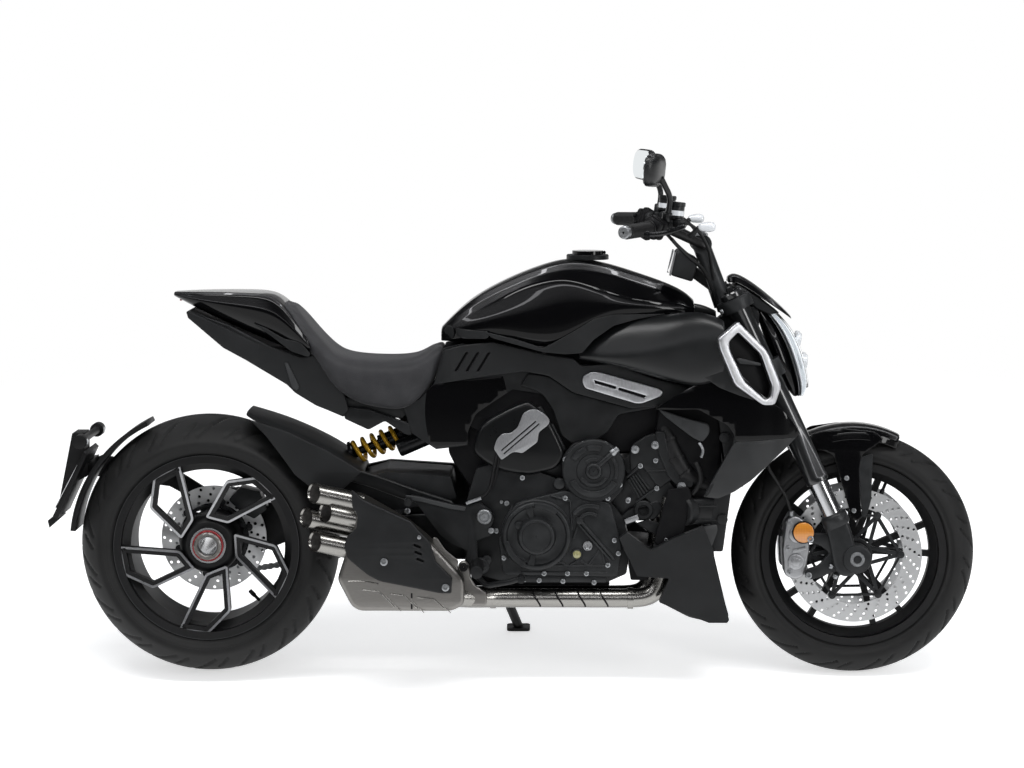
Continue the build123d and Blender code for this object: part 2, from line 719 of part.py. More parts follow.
with BuildPart() as radiator_cowls:
    plate(
        [
            (1088, 668), (1171, 706), (1239, 722), (1317, 709), (1380, 661), (1438, 612), (1414, 588),
            (1326, 505), (1288, 476), (1215, 461), (1219, 486), (1278, 583), (1283, 622), (1190, 668),
        ],
        cowl_inner, cowl_outer, 3,
    )
    with BuildSketch(Plane.XY.offset(400)) as plan:
        with BuildLine():
            Polyline((1000, -150), (1000, -176), (1240, -192), (1330, -192), (1450, -166), (1450, -150), close=True)
        make_face()
    extrude(plan.sketch, amount=400, mode=Mode.INTERSECT)
    mirror(about=Plane.XZ)
keep(radiator_cowls.part, "radiator_cowls")

with BuildPart() as belly_pan:
    plate(
        [
            (1011, 356), (1030, 371), (1089, 327), (1142, 356), (1216, 385), (1240, 327), (1242, 312),
            (1279, 156), (1274, 149), (1230, 149), (1172, 171), (1108, 200), (1133, 258), (1055, 263),
        ],
        146, 172, 3,
    )
    mirror(about=Plane.XZ)
    plate([(1238, 318), (1242, 312), (1279, 156), (1270, 149), (1228, 312)], -147, 147)
    plate([(1279, 156), (1274, 149), (1230, 149), (1172, 171), (1174, 178), (1230, 158)], -147, 147)
keep(belly_pan.part, "belly_pan")

# ---------------------------------------------------------------- tank, panels and intakes
def tank_section(width, top, shoulder, bottom):
    """Right half of a tank cross-section: crown, edge of the crown, widest point, lower edge."""
    return [
        (0, top), (-0.45 * width, top - 0.05 * (top - bottom)), (-0.82 * width, top - 0.3 * (top - shoulder) - 8),
        (-width, shoulder), (-0.96 * width, bottom + 0.25 * (shoulder - bottom)), (-0.8 * width, bottom), (0, bottom),
    ]


tank_stations = [
    (578, tank_section(66, 858, 845, 826)),
    (640, tank_section(112, 924, 870, 823)),
    (760, tank_section(146, 989, 900, 828)),
    (880, tank_section(tank_half_width, 1030, 910, 800)),
    (985, tank_section(162, 1022, 925, 865)),
    (1100, tank_section(140, 974, 925, 888)),
    (1192, tank_section(96, 924, 905, 885)),
]
filler_top = 1036
hinge_x = filler_x + filler_lid_radius + 3
hinge_z = filler_top + lid_hinge_radius + 1


def filler_disc(radius, depth, mode=Mode.ADD):
    """A level disc or hole round the filler, from its top down."""
    with BuildSketch(Plane.XY.offset(filler_top)) as outline:
        with Locations((filler_x, 0)):
            Circle(radius)
    extrude(outline.sketch, amount=-depth, mode=mode)


with BuildPart() as tank:
    skin(tank_stations)
    filler_disc(filler_lid_radius + 12, 60)
    filler_disc(filler_neck_radius, filler_neck_depth, Mode.SUBTRACT)
    for start, end in ((-14, -8.5), (8.5, 14)):
        drum((hinge_x, hinge_z), lid_hinge_radius, start, end)
        plate([(hinge_x - 3, hinge_z), (hinge_x + 3, hinge_z), (hinge_x + 3, 1030), (hinge_x - 3, 1030)], start, end)
keep(tank.part, "tank")

with BuildPart() as filler_lid:
    with BuildSketch(Plane.XY.offset(filler_top + seat_gap)) as lid:
        with Locations((filler_x, 0)):
            Circle(filler_lid_radius)
    extrude(lid.sketch, amount=filler_lid_thickness)
    drum((hinge_x, hinge_z), lid_hinge_radius, -8, 8)
keep(filler_lid.part, "filler_lid")

with BuildPart() as side_panels:
    plate(
        [
            (560, 727), (584, 811), (624, 819), (703, 822), (830, 795), (899, 790), (919, 772), (995, 778),
            (1093, 742), (1170, 722), (1190, 690), (1088, 672), (1080, 650), (1010, 640), (890, 600),
            (880, 656), (840, 747), (781, 750),
        ],
        panel_inner, panel_inner + panel_thickness, 5,
    )
    for x in (632, 660, 688):
        plate([(x - 20, 758), (x + 4, 800), (x + 16, 800), (x - 8, 758)], panel_inner + 10, 200, 2, Mode.SUBTRACT)
    mirror(about=Plane.XZ)
keep(side_panels.part, "side_panels")

with BuildPart() as panel_inserts:
    panel_outer = panel_inner + panel_thickness
    plate(
        [(920, 736), (926, 750), (956, 754), (1102, 718), (1110, 709), (1092, 698), (1053, 692), (922, 722)],
        panel_outer + seat_gap, panel_outer + 9, 4,
    )
    plate([(948, 730), (952, 736), (1074, 706), (1070, 700)], panel_outer, panel_outer + 20, 1, Mode.SUBTRACT)
    mirror(about=Plane.XZ)
keep(panel_inserts.part, "panel_inserts")

with BuildPart() as air_ducts:
    plate(
        [
            (1254, 880), (1238, 905), (1185, 909), (1093, 886), (995, 863), (937, 808), (913, 798), (927, 788),
            (995, 779), (1093, 743), (1170, 723), (1229, 732), (1252, 740), (1240, 800),
        ],
        panel_inner, duct_outer, 3,
    )
    with BuildSketch(Plane.XY.offset(650)) as plan:
        with BuildLine():
            Polyline(
                (900, -panel_inner - 8), (900, -135), (1040, -172), (1180, -duct_outer), (1300, -duct_outer),
                (1300, -152), (1184, -150), (1110, -panel_inner - 8), close=True,
            )
        make_face()
    extrude(plan.sketch, amount=300, mode=Mode.INTERSECT)
    add(tank.part, mode=Mode.SUBTRACT)
    mirror(about=Plane.XZ)
keep(air_ducts.part, "air_ducts")

intake_centre_x = 1320.0
intake_plane = Plane(
    origin=(intake_centre_x, -intake_reach, 0),
    x_dir=(cos(radians(intake_angle)), sin(radians(intake_angle)), 0),
    z_dir=(sin(radians(intake_angle)), -cos(radians(intake_angle)), 0),
)


def intake_outline(points):
    """Points seen from the side, laid out on the slanted intake plane."""
    return [((x - intake_centre_x) / cos(radians(intake_angle)), z) for x, z in points]


with BuildPart() as intake_rings:
    with BuildSketch(intake_plane.offset(-intake_depth)) as ring:
        with BuildLine():
            Polyline(
                *intake_outline([
                    (1242, 849), (1255, 867), (1291, 888), (1327, 865), (1368, 809), (1388, 760), (1402, 722),
                    (1394, 688), (1378, 680), (1356, 683), (1315, 707), (1286, 736), (1265, 772), (1245, 823),
                ]), close=True,
            )
        make_face()
        with BuildLine():
            Polyline(
                *intake_outline([
                    (1274, 848), (1294, 859), (1334, 828), (1359, 789), (1380, 726), (1373, 700), (1361, 698),
                    (1327, 723), (1298, 765), (1276, 809),
                ]), close=True,
            )
        make_face(mode=Mode.SUBTRACT)
    extrude(ring.sketch, amount=intake_depth)
    with BuildSketch(intake_plane.offset(2 - intake_depth)) as vane:
        with BuildLine():
            Polyline(*intake_outline([(1284, 800), (1365, 782), (1368, 774), (1290, 790)]), close=True)
        make_face()
    extrude(vane.sketch, amount=intake_depth - 6)
    add(air_ducts.part, mode=Mode.SUBTRACT)
    add(radiator_cowls.part, mode=Mode.SUBTRACT)
    mirror(about=Plane.XZ)
keep(intake_rings.part, "intake_rings")

# ---------------------------------------------------------------- seat and tail
def seat_section(width, top, edge, bottom):
    """Right half of a seat cross-section: middle of the top, its rolled edge, the skirt."""
    return [(0, top), (-0.7 * width, top + 2), (-width, edge), (-width, bottom + 8), (-width + 14, bottom), (0, bottom)]


seat_stations = [
    (196, seat_section(104, 924, 900, 888)),
    (266, seat_section(126, 852, 826, 800)),
    (330, seat_section(140, 792, 766, 694)),
    (440, seat_section(138, 780, 750, 668)),
    (520, seat_section(118, 786, 756, 672)),
    (556, seat_section(96, 812, 790, 716)),
    (574, seat_section(84, 822, 808, 790)),
]
with BuildPart() as seat:
    skin(seat_stations)
    add(main_frame.part, mode=Mode.SUBTRACT)
    add(side_panels.part, mode=Mode.SUBTRACT)
    add(tank.part, mode=Mode.SUBTRACT)
keep(seat.part, "seat")

with BuildPart() as tail:
    skin([
        (-80, [(0, 943), (-40, 941), (-52, 934), (-46, 928), (0, 926)]),
        (40, [(0, 946), (-74, 942), (-92, 926), (-70, 880), (0, 876)]),
        (175, [(0, 942), (-96, 936), (-112, 916), (-96, 818), (0, 812)]),
        (262, [(0, 846), (-110, 838), (-128, 822), (-112, 790), (0, 782)]),
    ])
    add(seat.part, mode=Mode.SUBTRACT)
keep(tail.part, "tail")

with BuildPart() as undertail:
    plate(
        [
            (-46, 905), (-40, 885), (45, 812), (100, 782), (200, 722), (220, 702), (270, 672), (335, 644),
            (480, 640), (520, 672), (440, 690), (330, 700), (262, 790), (200, 806), (150, 812), (0, 884),
        ],
        -92, 92, 4,
    )
    add(tail.part, mode=Mode.SUBTRACT)
    add(seat.part, mode=Mode.SUBTRACT)
    add(main_frame.part, mode=Mode.SUBTRACT)
keep(undertail.part, "undertail")

# ---------------------------------------------------------------- rear mudguards and plate
with BuildPart() as rear_hugger:
    plate(
        [
            (112, 648), (200, 616), (300, 566), (352, 534), (386, 512), (338, 470), (300, 440), (250, 480),
            (150, 590),
        ],
        -134, 128, 4,
    )
    drum((0, rear_axle_z), rear_tyre_radius + moving_gap, -127, 121, Mode.SUBTRACT)
    add(swingarm.part, mode=Mode.SUBTRACT)
    add(rear_shock.part, mode=Mode.SUBTRACT)
keep(rear_hugger.part, "rear_hugger")

guard_radius = rear_tyre_radius + moving_gap + 4
guard_start = 26.0
guard_sweep = 58.0
with BuildPart() as plate_carrier:
    blade = Plane(
        origin=(0, 0, rear_axle_z), x_dir=(0, 1, 0),
        z_dir=(cos(radians(guard_start)), 0, sin(radians(guard_start))),
    )
    with BuildSketch(blade) as section:
        with Locations((0, guard_radius + 6)):
            Rectangle(128, 12)
    revolve(section.sketch, rear_axle, revolution_arc=-guard_sweep)
    plate([(-336, 596), (-306, 596), (-306, 520), (-352, 450), (-362, 392), (-376, 396), (-366, 450)], -40, 40, 3)
    plate([(-292, 548), (-300, 556), (-378, 396), (-366, 390)], -95, 95)
    plate([(-402, 376), (-372, 396), (-366, 386), (-398, 358)], -30, 30)
    plate([(-12, 380), (40, 392), (-100, 480), (-290, 520), (-332, 500), (-336, 470), (-120, 440)], -150, -138, 8)
    plate([(-342, 512), (-300, 520), (-304, 486), (-336, 470)], -150, 20)
    rod((-300, -118, 586), (-300, 118, 586), 9)
    drum((-300, 586), 17, -150, -112)
    drum((-300, 586), 17, 112, 150)
    add(swingarm.part, mode=Mode.SUBTRACT)
keep(plate_carrier.part, "plate_carrier")

with BuildPart() as rear_caliper:
    plate([(40, 420), (70, 452), (118, 440), (136, 396), (104, 372), (72, 388)], rear_disc_offset * -1 - 34, -36, 6)
    drum(
        (0, rear_axle_z), rear_disc_radius + 5,
        -rear_disc_offset - disc_thickness - 5, -rear_disc_offset + 5, Mode.SUBTRACT,
    )
    plate([(10, 388), (60, 430), (110, 400), (60, 330), (36, 360)], -arm_inner + seat_gap, -92, 4)
    add(swingarm.part, mode=Mode.SUBTRACT)
keep(rear_caliper.part, "rear_caliper")

# ---------------------------------------------------------------- chain
drive_run = hypot(output_x, output_z - rear_axle_z)
drive_slope = degrees(asin((output_z - rear_axle_z) / drive_run))
drive_spread = degrees(asin((sprocket_radius - output_radius) / drive_run))


def chain_outline(grow):
    """The chain's path round both sprockets, grown outwards or inwards."""
    rear, front = sprocket_radius + grow, output_radius + grow
    top = radians(drive_slope + 90 - drive_spread)
    low = radians(drive_slope - 90 + drive_spread)
    back = radians(drive_slope + 180)
    ahead = radians(drive_slope)

    def at(x, z, radius, angle):
        return (x + radius * cos(angle), z + radius * sin(angle))

    with BuildLine() as outline:
        Line(at(0, rear_axle_z, rear, top), at(output_x, output_z, front, top))
        ThreePointArc(
            at(output_x, output_z, front, top), at(output_x, output_z, front, ahead),
            at(output_x, output_z, front, low),
        )
        Line(at(output_x, output_z, front, low), at(0, rear_axle_z, rear, low))
        ThreePointArc(
            at(0, rear_axle_z, rear, low), at(0, rear_axle_z, rear, back), at(0, rear_axle_z, rear, top),
        )
    return outline.edges()


with BuildPart() as drive_chain:
    for near, far in ((-chain_line - chain_side_gap - chain_plate, -chain_line - chain_side_gap),
                      (-chain_line + chain_side_gap, -chain_line + chain_side_gap + chain_plate)):
        with BuildSketch(side(near)) as band:
            make_face(chain_outline(chain_height / 2))
            make_face(chain_outline(-chain_height / 2), mode=Mode.SUBTRACT)
        extrude(band.sketch, amount=far - near)
    for share in (0.3, 0.5, 0.7):
        for turn in (90 - drive_spread, -90 + drive_spread):
            reach = sprocket_radius + (output_radius - sprocket_radius) * share
            angle = radians(drive_slope + turn)
            pin = (share * output_x + reach * cos(angle), rear_axle_z + share * (output_z - rear_axle_z) + reach * sin(angle))
            drum(pin, 5, -chain_line - chain_side_gap, -chain_line + chain_side_gap)
keep(drive_chain.part, "drive_chain")

with BuildPart() as sprocket_cover:
    drum((output_x, output_z), output_radius + 34, -chain_line - 22, -chain_line - 12)
    drum((output_x, output_z), output_radius + 34, -chain_line - 22, -case_half_width - seat_gap)
    drum((output_x, output_z), output_radius + 20, -chain_line - 14, -chain_line + 14, Mode.SUBTRACT)
    plate([(560, 300), (560, 460), (output_x, 440), (output_x, 300)], -chain_line - 14, -chain_line + 14, mode=Mode.SUBTRACT)
    drum((output_x, output_z), 20, -chain_line - 14, -chain_line + 14)
    add(engine_case.part, mode=Mode.SUBTRACT)
    add(swingarm.part, mode=Mode.SUBTRACT)
keep(sprocket_cover.part, "sprocket_cover")

# ---------------------------------------------------------------- foot rests
with BuildPart() as foot_rests:
    plate(
        [
            (486, 462), (528, 455), (606, 435), (645, 431), (674, 440), (700, 420), (700, 360), (665, 348),
            (668, 280), (650, 262), (630, 280), (644, 322), (606, 338), (577, 360), (516, 442),
        ],
        140, 152, 5,
    )
    drum((swingarm_pivot_x, swingarm_pivot_z), 22, case_half_width + seat_gap, 158)
    rod((668, -146, 290), (668, -284, 290), 15)
    rod((500, -150, 446), (500, -200, 446), 9)
    pipe([(654, -146, 268), (690, -176, 240), (748, -198, 254), (776, -202, 264)], 20, 7)
    rod((774, -192, 264), (774, -236, 264), 9)
keep(foot_rests.part, "foot_rests_right")

with BuildPart() as foot_rests_left:
    plate(
        [
            (692, 484), (722, 484), (726, 420), (722, 330), (738, 290), (722, 266), (650, 264), (642, 282),
            (676, 330), (684, 400),
        ],
        -208, -198, 5,
    )
    for x, z in ((708, 474), (722, 290)):
        drum((x, z), 11, -204, -case_half_width - seat_gap)
    rod((664, 200, 284), (664, 296, 284), 15)
    pipe([(660, 202, 276), (690, 214, 244), (748, 224, 254), (776, 226, 264)], 20, 7)
    rod((774, 220, 264), (774, 262, 264), 9)
keep(foot_rests_left.part, "foot_rests_left")

# ---------------------------------------------------------------- side stand
with BuildPart() as side_stand:
    with BuildSketch(Plane(origin=stand_sole, x_dir=floor.x_dir, z_dir=floor.z_dir)) as pad:
        RectangleRounded(2 * stand_pad_radius, 1.4 * stand_pad_radius, 10)
    extrude(pad.sketch, amount=stand_pad_thickness)
    rod(stand_sole + floor.z_dir * (stand_pad_thickness - 1), stand_top, stand_leg_radius)
    rod(stand_top - stand_axis * stand_boss, stand_top + stand_axis * stand_boss, 20)
    rod(stand_top - stand_axis * 40, stand_top + stand_axis * 40, stand_pin_radius + running_gap, Mode.SUBTRACT)
keep(side_stand.part, "side_stand")

# ---------------------------------------------------------------- park the bike and write it out
leaned = Location((0, 0, 0), (-lean, 0, 0))
for part in pieces:
    part.move(leaned)
corners = [part.bounding_box() for part in pieces]
low_x, high_x = min(box.min.X for box in corners), max(box.max.X for box in corners)
low_y, high_y = min(box.min.Y for box in corners), max(box.max.Y for box in corners)
parked = Location((-(low_x + high_x) / 2, -(low_y + high_y) / 2, floor_lift))
for part in pieces:
    part.move(parked)
    export_step(part, f"parts/{part.label}.step")
for name, place in (
    ("rear_axle", Vector(0, 0, rear_axle_z)),
    ("front_axle", Vector(wheelbase, 0, front_axle_z)),
    ("steering", fork.origin),
    ("stand", stand_top),
    ("stand_axis_end", stand_top + stand_axis * 100),
    ("lid_hinge", Vector(hinge_x, 0, hinge_z)),
    ("bore_mouth", Vector(0, -rear_spoke_face - 14, rear_axle_z)),
    ("stand_sole", stand_sole),
):
    print(name, tuple((parked * leaned * Location(place)).position))
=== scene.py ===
"""Looks of the power cruiser motorcycle: finishes, modelled detail, light and camera.

New pieces are drawn upright in the bike's own frame, in millimetres: X forward from the rear axle,
Y to the bike's left, Z up from the road.  place() leans each finished piece with the parked bike.
Distances called near, far or out are measured to the bike's right.
"""
import json
from math import asin, atan2, cos, hypot, pi, radians, sin, sqrt

import bmesh
import bpy
from mathutils import Matrix, Vector


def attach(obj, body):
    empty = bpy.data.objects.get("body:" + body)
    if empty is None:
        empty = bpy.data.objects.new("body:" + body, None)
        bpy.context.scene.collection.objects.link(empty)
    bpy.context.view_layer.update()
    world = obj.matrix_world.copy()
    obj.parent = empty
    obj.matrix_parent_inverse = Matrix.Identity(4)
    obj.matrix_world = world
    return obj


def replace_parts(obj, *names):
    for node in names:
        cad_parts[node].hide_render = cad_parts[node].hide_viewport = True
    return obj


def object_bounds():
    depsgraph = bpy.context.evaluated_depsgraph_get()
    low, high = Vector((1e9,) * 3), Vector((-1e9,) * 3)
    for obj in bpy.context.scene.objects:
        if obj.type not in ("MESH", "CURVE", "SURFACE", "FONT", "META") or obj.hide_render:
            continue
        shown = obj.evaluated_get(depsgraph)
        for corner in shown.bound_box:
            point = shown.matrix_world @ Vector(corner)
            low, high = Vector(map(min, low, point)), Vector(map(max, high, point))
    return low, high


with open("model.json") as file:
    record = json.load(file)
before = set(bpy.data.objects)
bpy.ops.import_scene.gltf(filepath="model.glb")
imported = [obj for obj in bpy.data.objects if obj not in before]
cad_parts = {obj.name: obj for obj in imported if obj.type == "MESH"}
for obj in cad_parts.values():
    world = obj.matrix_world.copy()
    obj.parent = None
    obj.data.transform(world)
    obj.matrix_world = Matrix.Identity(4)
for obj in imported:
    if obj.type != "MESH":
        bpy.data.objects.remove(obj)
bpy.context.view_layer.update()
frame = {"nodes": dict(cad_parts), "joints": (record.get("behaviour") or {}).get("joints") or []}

nodes = frame["nodes"]

# ---------------------------------------------------------------- places from the frame
joints = {joint["name"]: joint for joint in frame["joints"]}
rear_hub = Vector(joints["rear_wheel_spin"]["pos_m"])
front_hub = Vector(joints["front_wheel_spin"]["pos_m"])
axle_line = Vector(joints["rear_wheel_spin"]["axis"])
rear_axle_z = 320.0                       # the rear axle's height on the upright bike
lean = asin(-axle_line.z)
bike = (
    Matrix.Translation(rear_hub) @ Matrix.Rotation(-lean, 4, "X")
    @ Matrix.Scale(0.001, 4) @ Matrix.Translation((0, 0, -rear_axle_z))
)
front_axle = bike.inverted() @ front_hub
wheelbase = front_axle.x
steering_line = Matrix.Rotation(lean, 4, "X") @ Vector(joints["steering"]["axis"])
rake = atan2(-steering_line.x, steering_line.z)
steering_offset = 28.0                    # axle ahead of the steering axis
fork_ahead = Vector((cos(rake), 0, sin(rake)))
fork_up = Vector((-sin(rake), 0, cos(rake)))
fork_foot = front_axle - fork_ahead * steering_offset
leg_ahead, leg_out = 20, 105            # a fork leg from the steering axis


def in_fork(ahead, out, up):
    """A point given in the fork's own directions, out to the bike's right."""
    return fork_foot + fork_ahead * ahead + Vector((0, -out, 0)) + fork_up * up


# ---------------------------------------------------------------- finishes
def linear(code):
    """An sRGB hex colour as the linear colour that a shader takes."""
    shares = [int(code[at:at + 2], 16) / 255 for at in (1, 3, 5)]
    return [s / 12.92 if s <= 0.04045 else ((s + 0.055) / 1.055) ** 2.4 for s in shares] + [1]


def add(tree, kind, settings=(), **inputs):
    """Add a node; settings are its own fields, inputs are values or the sockets that feed it."""
    made = tree.nodes.new("ShaderNode" + kind)
    for field, value in dict(settings).items():
        setattr(made, field, value)
    for name, value in inputs.items():
        socket = made.inputs[int(name[1:]) if name[1:].isdigit() else name.replace("_", " ")]
        if isinstance(value, bpy.types.NodeSocket):
            tree.links.new(value, socket)
        else:
            socket.default_value = value
    return made


def surface(name, colour, roughness, metallic=0.0, **sockets):
    """A material with one Principled shader; returns it with its tree, shader and Object coordinates."""
    made = bpy.data.materials.new(name)
    made.use_nodes = True
    tree = made.node_tree
    shader = tree.nodes["Principled BSDF"]
    shader.inputs["Base Color"].default_value = linear(colour)
    shader.inputs["Roughness"].default_value = roughness
    shader.inputs["Metallic"].default_value = metallic
    for field, value in sockets.items():
        shader.inputs[field.replace("_", " ")].default_value = value
    made.diffuse_color = linear(colour)
    place_on = add(tree, "TexCoord").outputs["Object"]
    return made, tree, shader, place_on


def mottle(tree, shader, at, dark, light, size_mm, low=0.35, high=0.65):
    """Slow drift of colour over the surface, in patches of the given size."""
    patches = add(tree, "TexNoise", Vector=at, Scale=1000 / size_mm, Detail=4.0)
    ramp = add(tree, "ValToRGB", Fac=patches.outputs["Fac"])
    ramp.color_ramp.elements[0].position = low
    ramp.color_ramp.elements[1].position = high
    ramp.color_ramp.elements[0].color = linear(dark)
    ramp.color_ramp.elements[1].color = linear(light)
    tree.links.new(ramp.outputs["Color"], shader.inputs["Base Color"])
    return patches


def vary_roughness(tree, shader, source, low, high):
    """Roughness that follows a pattern between two values."""
    spread = add(tree, "MapRange", _0=source, To_Min=low, To_Max=high)
    tree.links.new(spread.outputs["Result"], shader.inputs["Roughness"])


def relief(tree, shader, height, depth_mm):
    """Bump whose full height is the given depth."""
    bump = add(tree, "Bump", Height=height, Strength=1.0, Distance=depth_mm / 1000)
    tree.links.new(bump.outputs["Normal"], shader.inputs["Normal"])


def grain(name, colour, light, roughness, grain_mm, depth_mm, patch_mm=60, metallic=0.0, **sockets):
    """A cast, moulded or powder-coated surface: fine grain with a slow drift in colour and gloss."""
    sockets.setdefault("Specular_IOR_Level", 0.5 if metallic > 0.5 else 0.26)
    made, tree, shader, at = surface(name, colour, roughness, metallic, **sockets)
    patches = mottle(tree, shader, at, colour, light, patch_mm)
    vary_roughness(tree, shader, patches.outputs["Fac"], roughness - 0.07, roughness + 0.07)
    fine = add(tree, "TexNoise", Vector=at, Scale=1000 / grain_mm, Detail=3.0, Roughness=0.6)
    relief(tree, shader, fine.outputs["Fac"], depth_mm)
    return made


def brushed(name, colour, light, roughness, stretch, line_mm=1.2, depth_mm=0.03, **sockets):
    """Metal with fine parallel lines; stretch is the lines' slowness along each axis."""
    made, tree, shader, at = surface(name, colour, roughness, 1.0, **sockets)
    laid = add(tree, "Mapping", Vector=at, Scale=stretch)
    lines = mottle(tree, shader, laid.outputs["Vector"], colour, light, line_mm, 0.3, 0.7)
    vary_roughness(tree, shader, lines.outputs["Fac"], roughness - 0.08, roughness + 0.08)
    relief(tree, shader, lines.outputs["Fac"], depth_mm)
    return made


# two-pack enamel, sprayed and clear-coated: deep black with a mirror coat and faint orange peel
enamel, tree, shader, at = surface(
    "sprayed_enamel_black", "#030304", 0.3, Specular_IOR_Level=0.05, Coat_Weight=0.55, Coat_Roughness=0.03,
    Coat_IOR=1.45)
peel = add(tree, "TexNoise", Vector=at, Scale=1000 / 9, Detail=1.0)
relief(tree, shader, peel.outputs["Fac"], 0.01)

# ABS moulded in a fine spark-eroded tool: dark grey, dull, with a leathery grain
abs_matte = grain("moulded_abs_matte", "#111213", "#161718", 0.52, 1.6, 0.05)
# ABS moulded and sprayed satin: smoother and a little darker than the grained parts
abs_satin = grain("satin_abs_black", "#101112", "#141516", 0.34, 3.0, 0.01, Specular_IOR_Level=0.32)
# ABS moulded in a coarser tool for the lower panels: the same black plastic, its colour painted paler as
# painted light thrown up off the floor
abs_painted_floor_light = grain("moulded_abs_painted_floor_light", "#1a1b1c", "#212223", 0.46, 2.0, 0.04, Specular_IOR_Level=0.4)
# aluminium sand castings painted black: pebbled, half dull, edges catching light
cast_black = grain("sand_cast_aluminium_black", "#111213", "#191a1b", 0.42, 2.2, 0.1, 40, 0.2)
# aluminium pressure castings in dark grey paint: finer skin and more sheen
cast_grey = grain("pressure_cast_aluminium_grey", "#1f2021", "#28292a", 0.38, 1.8, 0.06, 30, 0.3)
# steel tube in powder coat: even satin black with faint peel
powder_coat = grain("powder_coated_steel_black", "#070708", "#0b0b0c", 0.5, 4.0, 0.03)
# aluminium, hard anodised black: an even half-gloss that keeps a metal's highlight
anodised = grain("hard_anodised_black", "#0b0c0d", "#101113", 0.27, 1.0, 0.01, 20, 0.4)
# pale moulded plastic: the blank number plate, white and a little glossy
abs_pale = grain("moulded_plastic_white", "#d8d9da", "#e2e3e4", 0.4, 3.0, 0.01)
# nylon moulded with glass fibre: dull black of levers' ends, clips and housings
nylon = grain("moulded_nylon_black", "#08080a", "#0c0c0d", 0.5, 1.2, 0.03, 20, Specular_IOR_Level=0.12)

# stainless steel tube and sheet, brushed: warm grey with lines along its length
stainless = brushed("brushed_stainless_steel", "#73716e", "#7e7c79", 0.36, (0.06, 1.0, 1.0), 0.8, 0.01)
# the same steel turned smooth, with long soft highlights, for the pipes and their tips; its colour is painted
# paler than the brushed steel's, as painted light
turned_steel_painted_paler = brushed("turned_stainless_steel_painted_paler", "#858380", "#8f8e8a", 0.26, (0.06, 1.0, 1.0), 3.0, 0.001)
# aluminium, satin brushed and clear anodised: pale and even with lines down its length
satin_aluminium = brushed("brushed_aluminium_anodised", "#8f9092", "#a2a3a5", 0.42, (1.0, 1.0, 0.08))
# aluminium cut bright on a machine after painting: the narrow silver edges of the spokes
cut_aluminium = brushed("machine_cut_aluminium", "#8e8f91", "#9c9d9f", 0.36, (1.0, 1.0, 1.0), 4.0, 0.01)
# aluminium die-cast and satin plated: the bright frames of the intakes and the side inserts
ring_silver = brushed("satin_plated_die_casting", "#b0b1b4", "#c2c3c6", 0.36, (1.0, 1.0, 0.2), 3.0, 0.01)
# upside-down fork tubes: aluminium in black gloss paint, one sharp highlight down each
fork_paint = grain("gloss_painted_tube_black", "#1a1b1c", "#202122", 0.3, 6.0, 0.002, 60, 0.3,
    Coat_Weight=1.0, Coat_Roughness=0.06)
# steel plated and polished: fork stanchions, pins and lever pivots
plated_steel = brushed("plated_polished_steel", "#a2a3a5", "#aaabad", 0.2, (1.0, 1.0, 0.1), 6.0, 0.002)
# zinc-plated steel screws: small bright heads that are a little dull
zinc = grain("zinc_plated_steel", "#808284", "#939597", 0.38, 0.8, 0.02, 6, 1.0)

# tyre rubber, moulded: nearly black, with a dry bloom that pales it in patches
rubber, tree, shader, at = surface("moulded_tyre_rubber", "#121212", 0.6, Specular_IOR_Level=0.26)
bloom = mottle(tree, shader, at, "#0f0f0f", "#171717", 70)
vary_roughness(tree, shader, bloom.outputs["Fac"], 0.52, 0.74)
pores = add(tree, "TexNoise", Vector=at, Scale=1000 / 2.5, Detail=4.0)
relief(tree, shader, pores.outputs["Fac"], 0.12)

# grip and hose rubber: softer sheen, no bloom
soft_rubber = grain("moulded_soft_rubber", "#09090a", "#0d0d0e", 0.5, 0.9, 0.05, 15)

# brake discs, ground steel: bright, with a fine uneven sheen
disc_steel, tree, shader, at = surface("ground_disc_steel", "#c9cacb", 0.3, 1.0)
brush = add(tree, "TexNoise", Vector=at, Scale=1000 / 3, Detail=5.0)
vary_roughness(tree, shader, brush.outputs["Fac"], 0.24, 0.42)
relief(tree, shader, brush.outputs["Fac"], 0.03)

# heat-resistant paint on the silencer's shield: soft black with little sheen
shield_paint = grain("heat_resistant_black", "#111213", "#161718", 0.46, 1.0, 0.03, 50)
# smooth satin paint over a moulded cover: dark with one soft highlight
satin_paint = grain("satin_painted_black", "#070809", "#0a0b0c", 0.3, 6.0, 0.02)
# paler moulded trim round the foot rests
pale_trim = grain("moulded_trim_grey", "#2b2c2d", "#323334", 0.45, 1.4, 0.04, 40)
# inside of the tail pipes: steel browned and sooted by the exhaust
sooted_steel = grain("sooted_steel", "#222120", "#3a3836", 0.6, 0.8, 0.05, 12, 0.3)
# oil sight glass: yellowish plastic over dark oil
sight_amber, tree, shader, at = surface("oil_sight_glass", "#8d8a5e", 0.15, Coat_Weight=0.6)
swirl = mottle(tree, shader, at, "#7d7a50", "#a09c72", 6)
vary_roughness(tree, shader, swirl.outputs["Fac"], 0.1, 0.2)

# chrome-silicon spring wire in gold enamel: warm yellow with a soft sheen
spring_gold = grain("gold_enamelled_spring_wire", "#a8811f", "#c79a2c", 0.34, 2.0, 0.03, 12, 0.45)
# anodised red lock ring: metallic red
red_anodised = grain("red_anodised_aluminium", "#7c2a2e", "#93383a", 0.38, 1.0, 0.02, 8, 0.5)

# seat cover: embossed vinyl, dark grey, with a fine pebble grain and soft sheen
seat_vinyl, tree, shader, at = surface(
    "embossed_vinyl_grey", "#29292b", 0.6, Specular_IOR_Level=0.2, Sheen_Weight=0.08, Sheen_Roughness=0.5)
mottle(tree, shader, at, "#252527", "#2c2c2e", 45)
pebbles = add(tree, "TexVoronoi", Vector=at, Scale=1000 / 2.4)
relief(tree, shader, pebbles.outputs["Distance"], 0.25)

